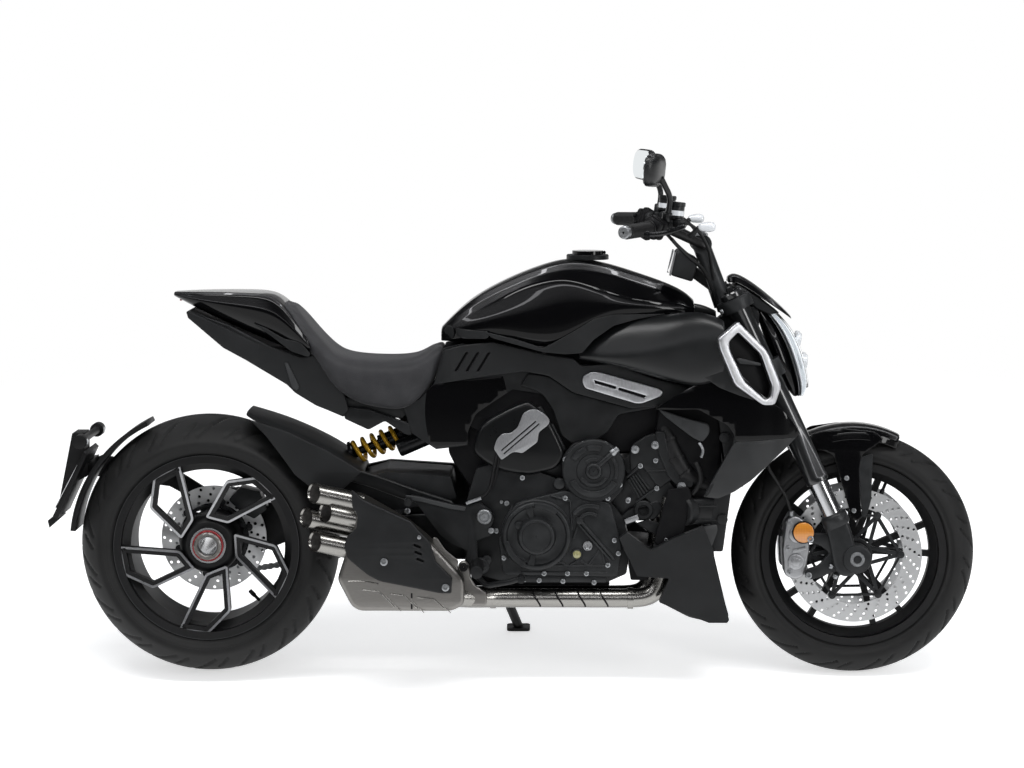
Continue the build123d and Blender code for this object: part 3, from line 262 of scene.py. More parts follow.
# polycarbonate lens, moulded clear over a bright bowl: smooth, pale and faintly cool
clear_lens, tree, shader, at = surface(
    "clear_polycarbonate", "#d3d6d9", 0.1, Transmission_Weight=0.12, IOR=1.58, Coat_Weight=0.8)
ripple = add(tree, "TexNoise", Vector=at, Scale=1000 / 90, Detail=0.0)
relief(tree, shader, ripple.outputs["Fac"], 0.002)
# the light guide round the lamp: opal polycarbonate, evenly white as it lets its light through
opal = grain("opal_polycarbonate_white", "#e9ecee", "#f4f6f7", 0.28, 6.0, 0.02, 30, Coat_Weight=1.0,
             Emission_Color=(0.86, 0.9, 0.93, 1), Emission_Strength=0.45)
# silvered glass of the mirrors
silvered, tree, shader, at = surface("silvered_mirror_glass", "#dfe4e6", 0.02, 1.0, Coat_Weight=0.5)
ripple = add(tree, "TexNoise", Vector=at, Scale=1000 / 60, Detail=0.0)
relief(tree, shader, ripple.outputs["Fac"], 0.004)
# dark cover glass of the dash
dash_glass, tree, shader, at = surface("dark_cover_glass", "#060708", 0.06, Coat_Weight=1.0)
ripple = add(tree, "TexNoise", Vector=at, Scale=1000 / 40, Detail=0.0)
relief(tree, shader, ripple.outputs["Fac"], 0.004)


def reflex(name, colour, light):
    """A moulded reflector: coloured acrylic over a field of small prisms."""
    made, tree, shader, at = surface(name, colour, 0.12, Coat_Weight=1.0, Specular_IOR_Level=0.7)
    cells = add(tree, "TexVoronoi", Vector=at, Scale=1000 / 4, Randomness=0.0)
    mix = add(tree, "ValToRGB", Fac=cells.outputs["Distance"])
    mix.color_ramp.elements[0].color = linear(colour)
    mix.color_ramp.elements[1].color = linear(light)
    tree.links.new(mix.outputs["Color"], shader.inputs["Base Color"])
    relief(tree, shader, cells.outputs["Distance"], 0.4)
    return made


amber_reflex = reflex("amber_acrylic_reflector", "#a8641c", "#d08a32")
red_reflex = reflex("red_acrylic_reflector", "#7a1216", "#b3222a")

# radiator core: black-painted aluminium with fins every 2.5 mm, drawn at 7.9 mm so that they show
fin_gap_mm = 7.9
wave_length = 2 * pi / 20                 # a wave texture's own length at a scale of 1
radiator_core, tree, shader, at = surface("finned_aluminium_core", "#17181a", 0.5, 0.5)
fins = add(tree, "TexWave", {"bands_direction": "Z"}, Vector=at, Scale=1000 * wave_length / fin_gap_mm)
relief(tree, shader, fins.outputs["Fac"], 1.2)
vary_roughness(tree, shader, fins.outputs["Fac"], 0.4, 0.6)


def wear(material, *names):
    """Give CAD nodes a finish."""
    for name in names:
        node = nodes[name]
        node.data.materials.clear()
        node.data.materials.append(material)


wear(rubber, "rear_tyre", "front_tyre")
wear(powder_coat, "rear_rim", "front_rim", "main_frame", "swingarm", "side_stand", "plate_carrier")
wear(disc_steel, "rear_disc", "front_discs")
wear(plated_steel, "rear_axle_shaft", "fork_sliders")
wear(cast_black, "engine_case", "front_cylinders", "rear_cylinders", "fork_clamps", "foot_rests_right",
    "foot_rests_left")
wear(cast_grey, "clutch_cover", "alternator_cover", "sprocket_cover")
wear(powder_coat, "fork_tubes", "handlebar", "headlight_bracket")
wear(nylon, "hand_controls", "mirrors", "dash")
wear(opal, "headlight")
wear(enamel, "tank", "tail", "flyscreen", "front_mudguard", "filler_lid", "radiator_cowls")
wear(abs_matte, "air_ducts", "side_panels", "undertail", "rear_hugger", "belly_pan")
wear(satin_aluminium, "intake_rings", "panel_inserts", "front_calipers", "rear_caliper")
wear(stainless, "silencer", "exhaust_pipes")
wear(shield_paint, "silencer_shield")
wear(spring_gold, "rear_shock")
wear(seat_vinyl, "seat")
wear(radiator_core, "radiators")
wear(soft_rubber, "brake_hoses")
wear(zinc, "drive_chain", "rear_sprocket")

# ---------------------------------------------------------------- ways of making a shape
def select_only(piece):
    """Leave one piece selected and active."""
    bpy.ops.object.select_all(action="DESELECT")
    piece.select_set(True)
    bpy.context.view_layer.objects.active = piece


def from_corners(corners, faces=(), edges=()):
    """A mesh piece from its corners: the start of a spin or a loft."""
    mesh = bpy.data.meshes.new("piece")
    mesh.from_pydata([tuple(corner) for corner in corners], list(edges), list(faces))
    piece = bpy.data.objects.new("piece", mesh)
    bpy.context.scene.collection.objects.link(piece)
    select_only(piece)
    return piece


def modify(piece, kind, **settings):
    """Add a modifier and apply it."""
    select_only(piece)
    made = piece.modifiers.new(kind, kind)
    for field, value in settings.items():
        setattr(made, field, value)
    bpy.ops.object.modifier_apply(modifier=made.name)
    return piece


def tidy_shell(piece, gap=0.01):
    """Merge doubles and point every face outwards."""
    select_only(piece)
    bpy.ops.object.mode_set(mode="EDIT")
    bpy.ops.mesh.select_all(action="SELECT")
    bpy.ops.mesh.remove_doubles(threshold=gap)
    bpy.ops.mesh.normals_make_consistent(inside=False)
    bpy.ops.object.mode_set(mode="OBJECT")
    return piece


def round_edges(piece, width, steps=2, angle=40):
    """Rounded edges wherever faces meet at more than an angle."""
    return modify(
        piece, "BEVEL", width=width, segments=steps, limit_method="ANGLE", angle_limit=radians(angle),
        use_clamp_overlap=True,
    )


def join(pieces):
    """Several pieces made one mesh."""
    select_only(pieces[0])
    for piece in pieces:
        piece.select_set(True)
    if len(pieces) > 1:
        bpy.ops.object.join()
    return bpy.context.view_layer.objects.active


def copy_of(piece, move):
    """The piece again, with its own mesh, moved."""
    twin = piece.copy()
    twin.data = piece.data.copy()
    bpy.context.scene.collection.objects.link(twin)
    twin.data.transform(move)
    if move.to_3x3().determinant() < 0:
        twin.data.flip_normals()
    return twin


def repeat(piece, moves):
    """Copies of a piece at each move, joined; the pattern itself goes."""
    copies = [copy_of(piece, move) for move in moves]
    bpy.data.objects.remove(piece)
    return join(copies)


mirror_move = Matrix.Diagonal((1, -1, 1, 1))


def both_sides(piece):
    """The piece and its mirror image across the bike's mid-plane, in one mesh."""
    return join([piece, copy_of(piece, mirror_move)])


def place(piece, name, body, slot, material, smooth=32):
    """Lean a finished piece with the parked bike, and give it its body and finish; slot is not used."""
    select_only(piece)
    piece.name = name
    piece.data.name = name
    piece.data.transform(bike)
    piece.data.materials.clear()
    piece.data.materials.append(material)
    bpy.ops.object.shade_smooth_by_angle(angle=radians(smooth))
    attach(piece, body)
    return piece


def turned_to(axis):
    """The rotation that takes Z to an axis."""
    return Vector((0, 0, 1)).rotation_difference(Vector(axis)).to_matrix().to_4x4()


def bar(start, end, radius, edge=0.0, sides=32):
    """A round bar between two points, its rims rounded."""
    start, end = Vector(start), Vector(end)
    run = end - start
    bpy.ops.object.select_all(action="DESELECT")
    bpy.ops.mesh.primitive_cone_add(
        vertices=sides, radius1=radius, radius2=radius, depth=run.length, location=(0, 0, 0),
    )
    piece = bpy.context.object
    piece.data.transform(Matrix.Translation((start + end) / 2) @ turned_to(run))
    if edge:
        round_edges(piece, edge)
    return piece


def disc(x, z, near, far, radius, edge=1.0, sides=48):
    """A round boss across the bike, its outer face at far."""
    return bar((x, -near, z), (x, -far, z), radius, edge, sides)


def block(centre, size, edge=2.0, turn=None):
    """A rectangular block with rounded edges, turned about its own centre."""
    bpy.ops.object.select_all(action="DESELECT")
    bpy.ops.mesh.primitive_cube_add(size=1, location=(0, 0, 0))
    piece = bpy.context.object
    piece.data.transform(Matrix.Diagonal((*size, 1)))
    if edge:
        round_edges(piece, edge)
    piece.data.transform(Matrix.Translation(centre) @ (turn or Matrix()))
    return piece


def lathe(profile, centre, axis, steps=64):
    """A turned part: a closed profile of points (along, radius) spun about an axis through a centre."""
    axis = Vector(axis).normalized()
    centre = Vector(centre)
    outward = axis.orthogonal().normalized()
    corners = [centre + axis * along + outward * radius for along, radius in profile]
    chain = [(at, at + 1) for at in range(len(profile) - 1)]
    chain.append((len(profile) - 1, 0))
    piece = from_corners(corners, edges=chain)
    bpy.ops.object.mode_set(mode="EDIT")
    bpy.ops.mesh.select_all(action="SELECT")
    bpy.ops.mesh.spin(steps=steps, angle=2 * pi, center=centre, axis=axis)
    bpy.ops.object.mode_set(mode="OBJECT")
    return tidy_shell(piece, 0.02)


def tube(points, radius, sides=12, order=3, resolution=8):
    """A bent bar, pipe or hose on one smooth curve through its route."""
    data = bpy.data.curves.new("route", "CURVE")
    data.dimensions = "3D"
    line = data.splines.new("NURBS")
    line.points.add(len(points) - 1)
    for knot, point in zip(line.points, points):
        knot.co = (*point, 1)
    line.use_endpoint_u = True
    line.order_u = order
    line.resolution_u = resolution
    data.bevel_depth = radius
    data.bevel_resolution = max(1, sides // 4 - 1)
    data.use_fill_caps = True
    return tidy_shell(curve_mesh(data))


def rounded(points, cut, steps=4):
    """An outline whose corners are arcs; a third number in a point is that corner's own cut."""
    loop = []
    for at, corner in enumerate(points):
        here = Vector(corner[:2])
        before = Vector(points[at - 1][:2]) - here
        after = Vector(points[(at + 1) % len(points)][:2]) - here
        own = min(corner[2] if len(corner) > 2 else cut, 0.48 * before.length, 0.48 * after.length)
        if own < 0.3:
            loop.append(tuple(here))
            continue
        start, end = here + before.normalized() * own, here + after.normalized() * own
        for step in range(steps + 1):
            share = step / steps
            loop.append(tuple(start.lerp(here, share).lerp(here.lerp(end, share), share)))
    return loop


def ring_of(x, z, radius, count=32):
    """A circle as an outline, for a hole or a rim."""
    return [(x + radius * cos(2 * pi * k / count), z + radius * sin(2 * pi * k / count))
        for k in range(count)]


def drawn(loops):
    """A flat curve filled inside its first outline and open inside the others."""
    data = bpy.data.curves.new("outline", "CURVE")
    data.dimensions = "2D"
    data.fill_mode = "BOTH"
    for loop in loops:
        line = data.splines.new("POLY")
        line.points.add(len(loop) - 1)
        for knot, (x, z) in zip(line.points, loop):
            knot.co = (x, z, 0, 1)
        line.use_cyclic_u = True
    return data


def curve_mesh(data):
    """A curve turned into a mesh piece."""
    piece = bpy.data.objects.new("outline", data)
    bpy.context.scene.collection.objects.link(piece)
    select_only(piece)
    bpy.ops.object.convert(target="MESH")
    return bpy.context.object


def flat(loops, near, far, edge=1.5, steps=2):
    """A side-view outline, with any holes after it, made a plate with rounded edges."""
    data = drawn(loops)
    data.extrude = abs(far - near) / 2 - edge
    data.bevel_depth = edge
    data.bevel_resolution = steps
    data.offset = -edge
    piece = curve_mesh(data)
    piece.data.transform(Matrix.Translation((0, -(near + far) / 2, 0)) @ Matrix.Rotation(pi / 2, 4, "X"))
    return tidy_shell(piece, 0.005)


def cut_plate(points, corner, near, far, edge=1.5, steps=2):
    """A plate of one outline whose corners are rounded."""
    return flat([rounded(points, corner)], near, far, edge, steps)


def gridded(shape, spacing, merge):
    """Cut a mesh along planes across its length and height, so that it can bend."""
    for axis in (0, 2):
        low = min(corner.co[axis] for corner in shape.verts)
        high = max(corner.co[axis] for corner in shape.verts)
        normal = [0, 0, 0]
        normal[axis] = 1
        for cut in range(1, int((high - low) / spacing) + 1):
            spot = [0, 0, 0]
            spot[axis] = low + cut * spacing
            every = shape.verts[:] + shape.edges[:] + shape.faces[:]
            bmesh.ops.bisect_plane(shape, geom=every, plane_co=spot, plane_no=normal, dist=merge)


def sheet(loops, thick, out_at, edge=1.5, spacing=16):
    """A moulded side panel: an outline, any holes after it, bent to stand out_at(x, z) from the mid-plane."""
    piece = curve_mesh(drawn(loops))
    piece.data.transform(Matrix.Rotation(pi / 2, 4, "X"))
    shape = bmesh.new()
    shape.from_mesh(piece.data)
    bmesh.ops.remove_doubles(shape, verts=shape.verts[:], dist=0.01)
    bmesh.ops.dissolve_limit(shape, angle_limit=radians(1), verts=shape.verts[:], edges=shape.edges[:])
    gridded(shape, spacing, 0.4)
    for face in shape.faces:
        if face.normal.y > 0:
            face.normal_flip()
    for corner in shape.verts:
        corner.co.y = -out_at(corner.co.x, corner.co.z)
    shape.to_mesh(piece.data)
    shape.free()
    modify(piece, "SOLIDIFY", thickness=thick, offset=-1)
    tidy_shell(piece, 0.005)
    if edge:
        round_edges(piece, edge, 2, 50)
    return piece


def ring_faces(rings, count, closed=False):
    """Four-sided faces between rings of equal counts; closed joins the last ring to the first."""
    faces = []
    for ring in range(rings if closed else rings - 1):
        here, there = ring * count, (ring + 1) % rings * count
        for k in range(count):
            after = (k + 1) % count
            faces.append((here + k, here + after, there + after, there + k))
    return faces


def loft(rings, levels=2, sharp=(), sharpness=0.8, sharp_ends=0.0):
    """A skin over closed rings of equal counts, smoothed; sharp names the points whose lines stay crisp."""
    count = len(rings[0])
    corners = [corner for ring in rings for corner in ring]
    faces = ring_faces(len(rings), count)
    faces.append(tuple(range(count)))
    faces.append(tuple((len(rings) - 1) * count + k for k in reversed(range(count))))
    piece = from_corners(corners, faces)
    crease = piece.data.attributes.new("crease_edge", "FLOAT", "EDGE")
    last = (len(rings) - 1) * count
    for edge in piece.data.edges:
        first, second = edge.vertices
        if first % count == second % count and first % count in sharp:
            crease.data[edge.index].value = sharpness
        if (first < count and second < count) or (first >= last and second >= last):
            crease.data[edge.index].value = sharp_ends
    tidy_shell(piece, 0.01)
    if levels:
        modify(piece, "SUBSURF", levels=levels, render_levels=levels)
    return piece


def mirrored_ring(x, half):
    """A closed ring across the bike from its right half, (out, z) points from the top middle down."""
    right = [Vector((x, -out, z)) for out, z in half]
    left = [Vector((x, out, z)) for out, z in reversed(half) if out > 0.01]
    return right + left


def screws(places, axis, radius, height):
    """Screw heads with a socket, at each place, pointing along an axis."""
    bpy.ops.object.select_all(action="DESELECT")
    bpy.ops.mesh.primitive_cylinder_add(vertices=20, radius=radius, depth=height, location=(0, 0, height / 2))
    head = bpy.context.object
    bpy.ops.object.transform_apply(location=True)
    bpy.ops.object.mode_set(mode="EDIT")
    bpy.ops.mesh.select_all(action="DESELECT")
    bpy.ops.object.mode_set(mode="OBJECT")
    for face in head.data.polygons:
        face.select = face.normal.z > 0.9
    bpy.ops.object.mode_set(mode="EDIT")
    bpy.ops.mesh.inset(thickness=radius * 0.2, depth=radius * 0.12)
    bpy.ops.mesh.inset(thickness=radius * 0.3, depth=0)
    bpy.ops.mesh.extrude_region_move(TRANSFORM_OT_translate={"value": (0, 0, -height * 0.6)})
    bpy.ops.object.mode_set(mode="OBJECT")
    turn = turned_to(axis)
    return repeat(head, [Matrix.Translation(spot) @ turn for spot in places])


def polished(node, width, angle=25, steps=2):
    """A rounded copy of a CAD node, back in the bike's frame, for it to be replaced by."""
    piece = nodes[node].copy()
    piece.data = nodes[node].data.copy()
    bpy.context.scene.collection.objects.link(piece)
    piece.parent = None
    for mark in list(piece.keys()):
        del piece[mark]
    piece.data.transform(bike.inverted())
    tidy_shell(piece, 0.05)
    bpy.ops.object.mode_set(mode="EDIT")
    bpy.ops.mesh.select_all(action="SELECT")
    bpy.ops.mesh.dissolve_limited(angle_limit=radians(1.0))
    bpy.ops.object.mode_set(mode="OBJECT")
    round_edges(piece, width, steps, angle)
    return piece


# ---------------------------------------------------------------- wheels
across_bike = Vector((0, 1, 0))
rear_centre = Vector((0, 0, rear_axle_z))


def tread_depth(turn, share, repeats, slant):
    """Depth of the tread's grooves at an angle round the tyre and a share of the way to the shoulder."""
    groove, middle, shoulder = 4.5, 0.12, 0.93      # grooves run between the two shares
    long_end, short_start, short_end = 0.86, 0.5, 0.9
    long_half, short_half = 0.016, 0.013            # half a groove's width, as a turn of the tyre
    side = abs(share)
    if side < middle or side > shoulder:
        return 0.0
    half_step = 0.5 if share < 0 else 0.0
    along = turn * repeats / (2 * pi) + half_step - slant * side ** 1.6
    long_cut = abs(along % 1 - 0.5) * 2 * pi / repeats
    short_along = along + 0.47 + 0.25 * side
    short_cut = abs(short_along % 1 - 0.5) * 2 * pi / repeats
    depth = 0.0
    if side < long_end:
        depth = max(depth, 1 - long_cut / long_half)
    if short_start < side < short_end:
        depth = max(depth, 1 - short_cut / short_half)
    fade = min(1.0, (side - middle) / 0.1, (shoulder - side) / 0.07)
    return groove * max(0.0, min(1.0, depth * 1.8)) * fade


def tyre(name, body, centre, radius, half, drop, bead_half, repeats, slant, steps):
    """A tyre: crowned tread with cut grooves, bulged sidewalls with moulded rings, and beads."""
    crown = (half ** 2 + drop ** 2) / (2 * drop)
    reach = asin(half * 0.985 / crown)
    profile = []
    tread = 40
    for k in range(tread + 1):
        turn = reach * (2 * k / tread - 1)
        profile.append((crown * sin(turn), radius - crown + crown * cos(turn)))
    wall = [
        (half, radius - drop - 3), (half - 0.5, radius - drop - 9), (half - 1.8, radius - drop - 11),
        (half - 2.6, (radius - drop + 240) / 2), (half - 6, 243), (half - 8.5, 241), (half - 9, 238),
        (bead_half + 8, 234), (bead_half + 4, 231), (bead_half + 1, 229), (bead_half, 222),
    ]
    profile += wall
    profile += [(bead_half - 6, 220), (-bead_half + 6, 220)]
    profile += [(-out, height) for out, height in reversed(wall)]
    piece = lathe(profile, centre, across_bike, steps)
    for corner in piece.data.vertices:
        arm = corner.co - centre
        out = arm.y
        distance = hypot(arm.x, arm.z)
        if abs(out) < half * 0.98 and distance > radius - drop - 1:
            share = asin(max(-1, min(1, out / crown))) / reach
            depth = tread_depth(atan2(arm.z, arm.x), share, repeats, slant)
            if depth > 0:
                normal = Vector((arm.x / distance * cos(share * reach), sin(share * reach),
                                 arm.z / distance * cos(share * reach)))
                corner.co -= normal * depth
    place(piece, name + "_tread", body, "tyre", rubber, 50)
    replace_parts(piece, name)


tyre("rear_tyre", "rear_wheel", rear_centre, radius=320, half=120, drop=58, bead_half=97,
     repeats=18, slant=0.9, steps=500)
tyre("front_tyre", "front_wheel", front_axle, radius=300, half=60, drop=42, bead_half=43,
     repeats=16, slant=0.8, steps=480)

# the rear spokes are five closed loops, dished outwards to the rim's lip
spoke_root, spoke_tip = 60.0, 201.5
spoke_root_out, spoke_tip_out = 52.0, 98.0


def on_dish(x, z, lift=0.0):
    """A point of the spokes' outer face, x and z from the axle."""
    share = min(1, (hypot(x, z) - spoke_root) / (spoke_tip - spoke_root))
    out = spoke_root_out + share * (spoke_tip_out - spoke_root_out)
    return Vector((x, -out - lift, rear_axle_z + z))


def inset_loop(points, inward):
    """A closed outline moved inwards by a distance, for convex outlines run either way round."""
    middle = sum((Vector(p) for p in points), Vector((0, 0))) / len(points)
    moved = []
    for at, point in enumerate(points):
        here, before, after = Vector(point), Vector(points[at - 1]), Vector(points[(at + 1) % len(points)])
        first, second = (here - before).normalized(), (after - here).normalized()
        normal_one, normal_two = Vector((-first.y, first.x)), Vector((-second.y, second.x))
        if normal_one.dot(middle - here) < 0:
            normal_one, normal_two = -normal_one, -normal_two
        half_way = (normal_one + normal_two).normalized()
        moved.append(tuple(here + half_way * inward / max(0.4, half_way.dot(normal_one))))
    return moved


petal = [(46, -51), (57, -160), (2, -215), (-70, -205), (-8, -72)]


def band(outer, inner, rise, thick):
    """A ribbon between two outlines on the dished face."""
    count = len(outer)
    rings = []
    for lift in (rise, rise - thick):
        rings.append([on_dish(x, z, lift) for x, z in outer])
        rings.append([on_dish(x, z, lift) for x, z in inner])
    top_out, top_in, low_out, low_in = rings
    corners = top_out + top_in + low_in + low_out
    return tidy_shell(from_corners(corners, ring_faces(4, count, True)))


def wheel_copies(piece, centre, count):
    """Copies of a piece round an axle."""
    moves = []
    for k in range(count):
        turn = Matrix.Rotation(2 * pi * k / count, 4, "Y")
        moves.append(Matrix.Translation(centre) @ turn @ Matrix.Translation(-Vector(centre)))
    return repeat(piece, moves)


soft_petal = rounded(petal, 7, 3)
edging = band(soft_petal, inset_loop(soft_petal, 5.5), 0.6, 3)
place(wheel_copies(edging, rear_centre, 5), "rear_spoke_edging", "rear_wheel", "axle_steel", cut_aluminium)
loops = band(soft_petal, inset_loop(soft_petal, 15), 0, 24)
barrel_line = [(103, 228), (97, 228), (97, 215.7), (79, 215.7), (67, 196), (-67, 196), (-79, 215.7),
    (-97, 215.7), (-97, 228), (-103, 228), (-103, 209.7), (-79, 209.7), (-67, 190), (67, 190),
    (79, 209.7), (103, 209.7)]
barrel = lathe(barrel_line, rear_centre, -across_bike, 160)
hub = lathe([(-56, 32.4), (-56, 74), (-54, 75), (20, 75), (34, 72), (48, 62), (52, 56), (52, 32.4)],
    rear_centre, -across_bike, 72)
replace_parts(place(join([wheel_copies(loops, rear_centre, 5), barrel, hub]), "rear_rim_casting", "rear_wheel",
    "black_rim", powder_coat), "rear_rim")

# the rear centre nut: a red lock ring and a bright fluted nut
lock_ring = lathe([(66, 34.4), (66, 37), (70, 38.4), (73, 38.4), (74, 37.4), (74, 34.4)],
    rear_centre, -across_bike)
place(lock_ring, "rear_lock_ring", "rear_wheel", "axle_steel", red_anodised)
centre_nut = lathe(
    [(60, 24), (78, 24), (80, 26), (80, 31), (78, 34), (66, 34), (60, 33)], rear_centre, -across_bike, 48)
flutes = []
for k in range(12):
    turn = 2 * pi * k / 12
    flutes.append(block((32.5 * cos(turn), -77, rear_axle_z + 32.5 * sin(turn)), (4, 7, 4), 0.8,
                        Matrix.Rotation(-turn, 4, "Y")))
place(join([centre_nut] + flutes), "rear_centre_nut", "rear_wheel", "axle_steel", stainless)


def valve(centre, radius, turn, out, name, body):
    """A tyre valve through the barrel, with its cap."""
    ray = Vector((cos(turn), 0, sin(turn)))
    root = centre + ray * radius - across_bike * out
    tip = root - ray * 34 - across_bike * 12
    stem = join([bar(root, root.lerp(tip, 0.55), 4, 0.5, 16), bar(root.lerp(tip, 0.5), tip, 5.5, 1, 12)])
    place(stem, name, body, "grip_rubber", soft_rubber)


valve(rear_centre, 188, radians(-50), 20, "rear_valve", "rear_wheel")
valve(front_axle, 190, radians(65), 10, "front_valve", "front_wheel")

# ---------------------------------------------------------------- brake discs
def drilled(radius, band_width, rows, per_turn, hole, near, far, centre):
    """A drilled disc rotor: a ring plate with slanted rows of holes."""
    loops = [ring_of(centre.x, centre.z, radius, 120), ring_of(centre.x, centre.z, radius - band_width, 120)]
    for k in range(per_turn):
        for row in range(rows):
            turn = 2 * pi * (k + 0.28 * row) / per_turn
            reach = radius - 7 - row * (band_width - 14) / (rows - 1)
            loops.append(ring_of(centre.x + reach * cos(turn), centre.z + reach * sin(turn), hole, 8))
    return flat(loops, near, far, 0.3, 0)


front_rotor = drilled(radius=165, band_width=46, rows=4, per_turn=30, hole=3.6, near=62, far=67,
    centre=front_axle)
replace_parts(place(both_sides(front_rotor), "front_disc_rotors", "front_wheel", "disc_steel", disc_steel),
    "front_discs")


def carrier(centre, hub, reach, arm, near, far, count, start):
    """A disc carrier: a hub ring, paired arms to each bobbin and the bobbins themselves."""
    parts = [flat([ring_of(centre.x, centre.z, hub), ring_of(centre.x, centre.z, hub - 9)], near, far, 1)]
    for k in range(count):
        here = start + 2 * pi * k / count
        tip = Vector((cos(here), sin(here))) * reach
        for spread in (-1, 1):
            foot = here + spread * pi / count
            root = Vector((cos(foot), sin(foot))) * (hub - 4)
            cross = (tip - root).normalized().orthogonal() * arm / 2
            outline = [root - cross, root + cross, tip + cross, tip - cross]
            parts.append(flat([[(centre.x + p.x, centre.z + p.y) for p in outline]],
                near + 0.5, far - 0.5, 0.6))
        after = here + 2 * pi / count
        after_tip = Vector((cos(after), sin(after))) * reach
        cross = (after_tip - tip).normalized().orthogonal() * arm * 0.35
        outline = [tip - cross, tip + cross, after_tip + cross, after_tip - cross]
        parts.append(flat([[(centre.x + p.x, centre.z + p.y) for p in outline]], near + 1, far - 1, 0.6))
        parts.append(disc(centre.x + tip.x, centre.z + tip.y, near - 1, far + 2.5, 9.5, 1, 20))
        parts.append(disc(centre.x + tip.x, centre.z + tip.y, near - 1, far + 4, 5, 0.6, 16))
    return join(parts)


front_carrier = carrier(front_axle, hub=44, reach=113, arm=9, near=61.5, far=67.5, count=6, start=0.02)
place(both_sides(front_carrier), "front_disc_carriers", "front_wheel", "anodised_black", cast_grey)

rear_rotor = drilled(radius=132, band_width=44, rows=3, per_turn=24, hole=4, near=-67, far=-62,
    centre=rear_centre)
place(rear_rotor, "rear_disc_rotor", "rear_wheel", "disc_steel", disc_steel)
carrier_seat = flat([ring_of(0, rear_axle_z, 62), ring_of(0, rear_axle_z, 42)], -62.5, -55.8, 1)
rear_carrier = join([
    carrier(rear_centre, hub=60, reach=92, arm=12, near=-68, far=-62, count=6, start=0.3), carrier_seat])
place(rear_carrier, "rear_disc_carrier", "rear_wheel", "anodised_black", cast_grey)
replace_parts(bpy.data.objects["rear_disc_rotor"], "rear_disc")

# a fine line on the rear rim's right lip
rear_line = lathe([(102.6, 227), (103.2, 227), (103.2, 228.4), (102.6, 228.4)],
    rear_centre, -across_bike, 160)
place(rear_line, "rear_lip_line", "rear_wheel", "axle_steel", pale_trim)

# ---------------------------------------------------------------- bodywork
def through(stations, x):
    """A value read from (x, value) stations, on a smooth line through them."""
    if x <= stations[0][0]:
        return stations[0][1]
    for (x_one, one), (x_two, two) in zip(stations, stations[1:]):
        if x <= x_two:
            share = (x - x_one) / (x_two - x_one)
            return one + (two - one) * share * share * (3 - 2 * share)
    return stations[-1][1]


def bowed(piece, out_at, spacing=18):
    """Bend a flat side panel so that it stands out from the mid-plane by out_at(x, z)."""
    shape = bmesh.new()
    shape.from_mesh(piece.data)
    gridded(shape, spacing, 0.01)
    for corner in shape.verts:
        corner.co.y -= out_at(corner.co.x, corner.co.z)
    shape.to_mesh(piece.data)
    shape.free()
    return piece


# tank: crowned shell with three drawn lines down each side
tank_rings = [
    (576, [(0, 858), (22, 857), (38, 854), (52, 848), (60, 840), (57, 829), (40, 825), (0, 825)]),
    (598, [(0, 882), (34, 880), (56, 873), (74, 861), (84, 847), (80, 829), (56, 824), (0, 824)]),
    (645, [(0, 928), (50, 923), (78, 910), (98, 893), (114, 866), (110, 840), (80, 828), (0, 828)]),
    (700, [(0, 961), (62, 955), (94, 940), (118, 922), (138, 884), (134, 848), (100, 832), (0, 832)]),
    (760, [(0, 990), (70, 983), (104, 970), (132, 958), (154, 896), (150, 842), (116, 828), (0, 828)]),
    (820, [(0, 1013), (76, 1006), (112, 993), (142, 976), (161, 898), (156, 828), (120, 814), (0, 814)]),
    (880, [(0, 1031), (80, 1021), (118, 1005), (147, 985), (163, 905), (158, 832), (122, 812), (0, 812)]),
    (940, [(0, 1028), (78, 1018), (116, 1001), (151, 966), (162, 912), (157, 864), (122, 832), (0, 832)]),
    (1000, [(0, 1014), (72, 1004), (110, 990), (149, 944), (157, 920), (153, 896), (118, 872), (0, 872)]),
    (1060, [(0, 994), (62, 984), (98, 969), (138, 934), (146, 918), (142, 899), (108, 884), (0, 884)]),
    (1120, [(0, 974), (50, 964), (82, 950), (118, 928), (128, 914), (124, 900), (92, 889), (0, 889)]),
    (1172, [(0, 950), (38, 942), (64, 931), (92, 918), (102, 908), (98, 898), (72, 889), (0, 889)]),
    (1196, [(0, 926), (26, 921), (46, 914), (66, 907), (74, 900), (70, 893), (50, 889), (0, 889)]),
]
tank_skin = loft(
    [mirrored_ring(x, half) for x, half in tank_rings], 3,
    sharp=(1, 2, 3, 5, 9, 11, 12, 13), sharpness=0.75, sharp_ends=0.6,
)
place(tank_skin, "tank_shell", "chassis", "gloss_black", enamel, 60)
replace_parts(tank_skin, "tank")

tank_out = [(576, 62), (640, 112), (700, 137), (760, 152), (820, 160), (900, 161), (1000, 153),
    (1060, 142), (1130, 126)]
trim = cut_plate([(690, 854), (762, 838), (826, 818), (850, 830), (899, 858), (948, 888), (997, 899),
    (1124, 899), (1055, 887), (997, 872), (948, 838), (920, 806), (879, 803), (826, 808), (762, 825),
    (700, 841)], 6, -8, 4, 1.5)
bowed(trim, lambda x, z: through(tank_out, x) + 1)
place(both_sides(trim), "tank_side_trims", "chassis", "matte_black", abs_matte)
knee = cut_plate([(590, 866), (604, 864), (610, 850), (606, 834), (590, 840), (584, 852)], 5, -9, 3, 1.5)
knee_pad = cut_plate([(612, 861), (648, 858), (692, 856), (696, 846), (690, 838), (634, 836), (616, 842)],
    6, -9, 3, 1.5)
corner_piece = bowed(join([knee, knee_pad]), lambda x, z: through(tank_out, x) + 1)
place(both_sides(corner_piece), "tank_rear_trims", "chassis", "matte_black", abs_matte)

# the ring round the filler
filler = lathe(
    [(-6, 39.5), (-6, 52), (4, 52), (6, 50), (6, 42), (4, 39.5)], (935, 0, 1030), (0, 0, 1), 64)
place(filler, "filler_ring", "chassis", "lid_black", cast_black)

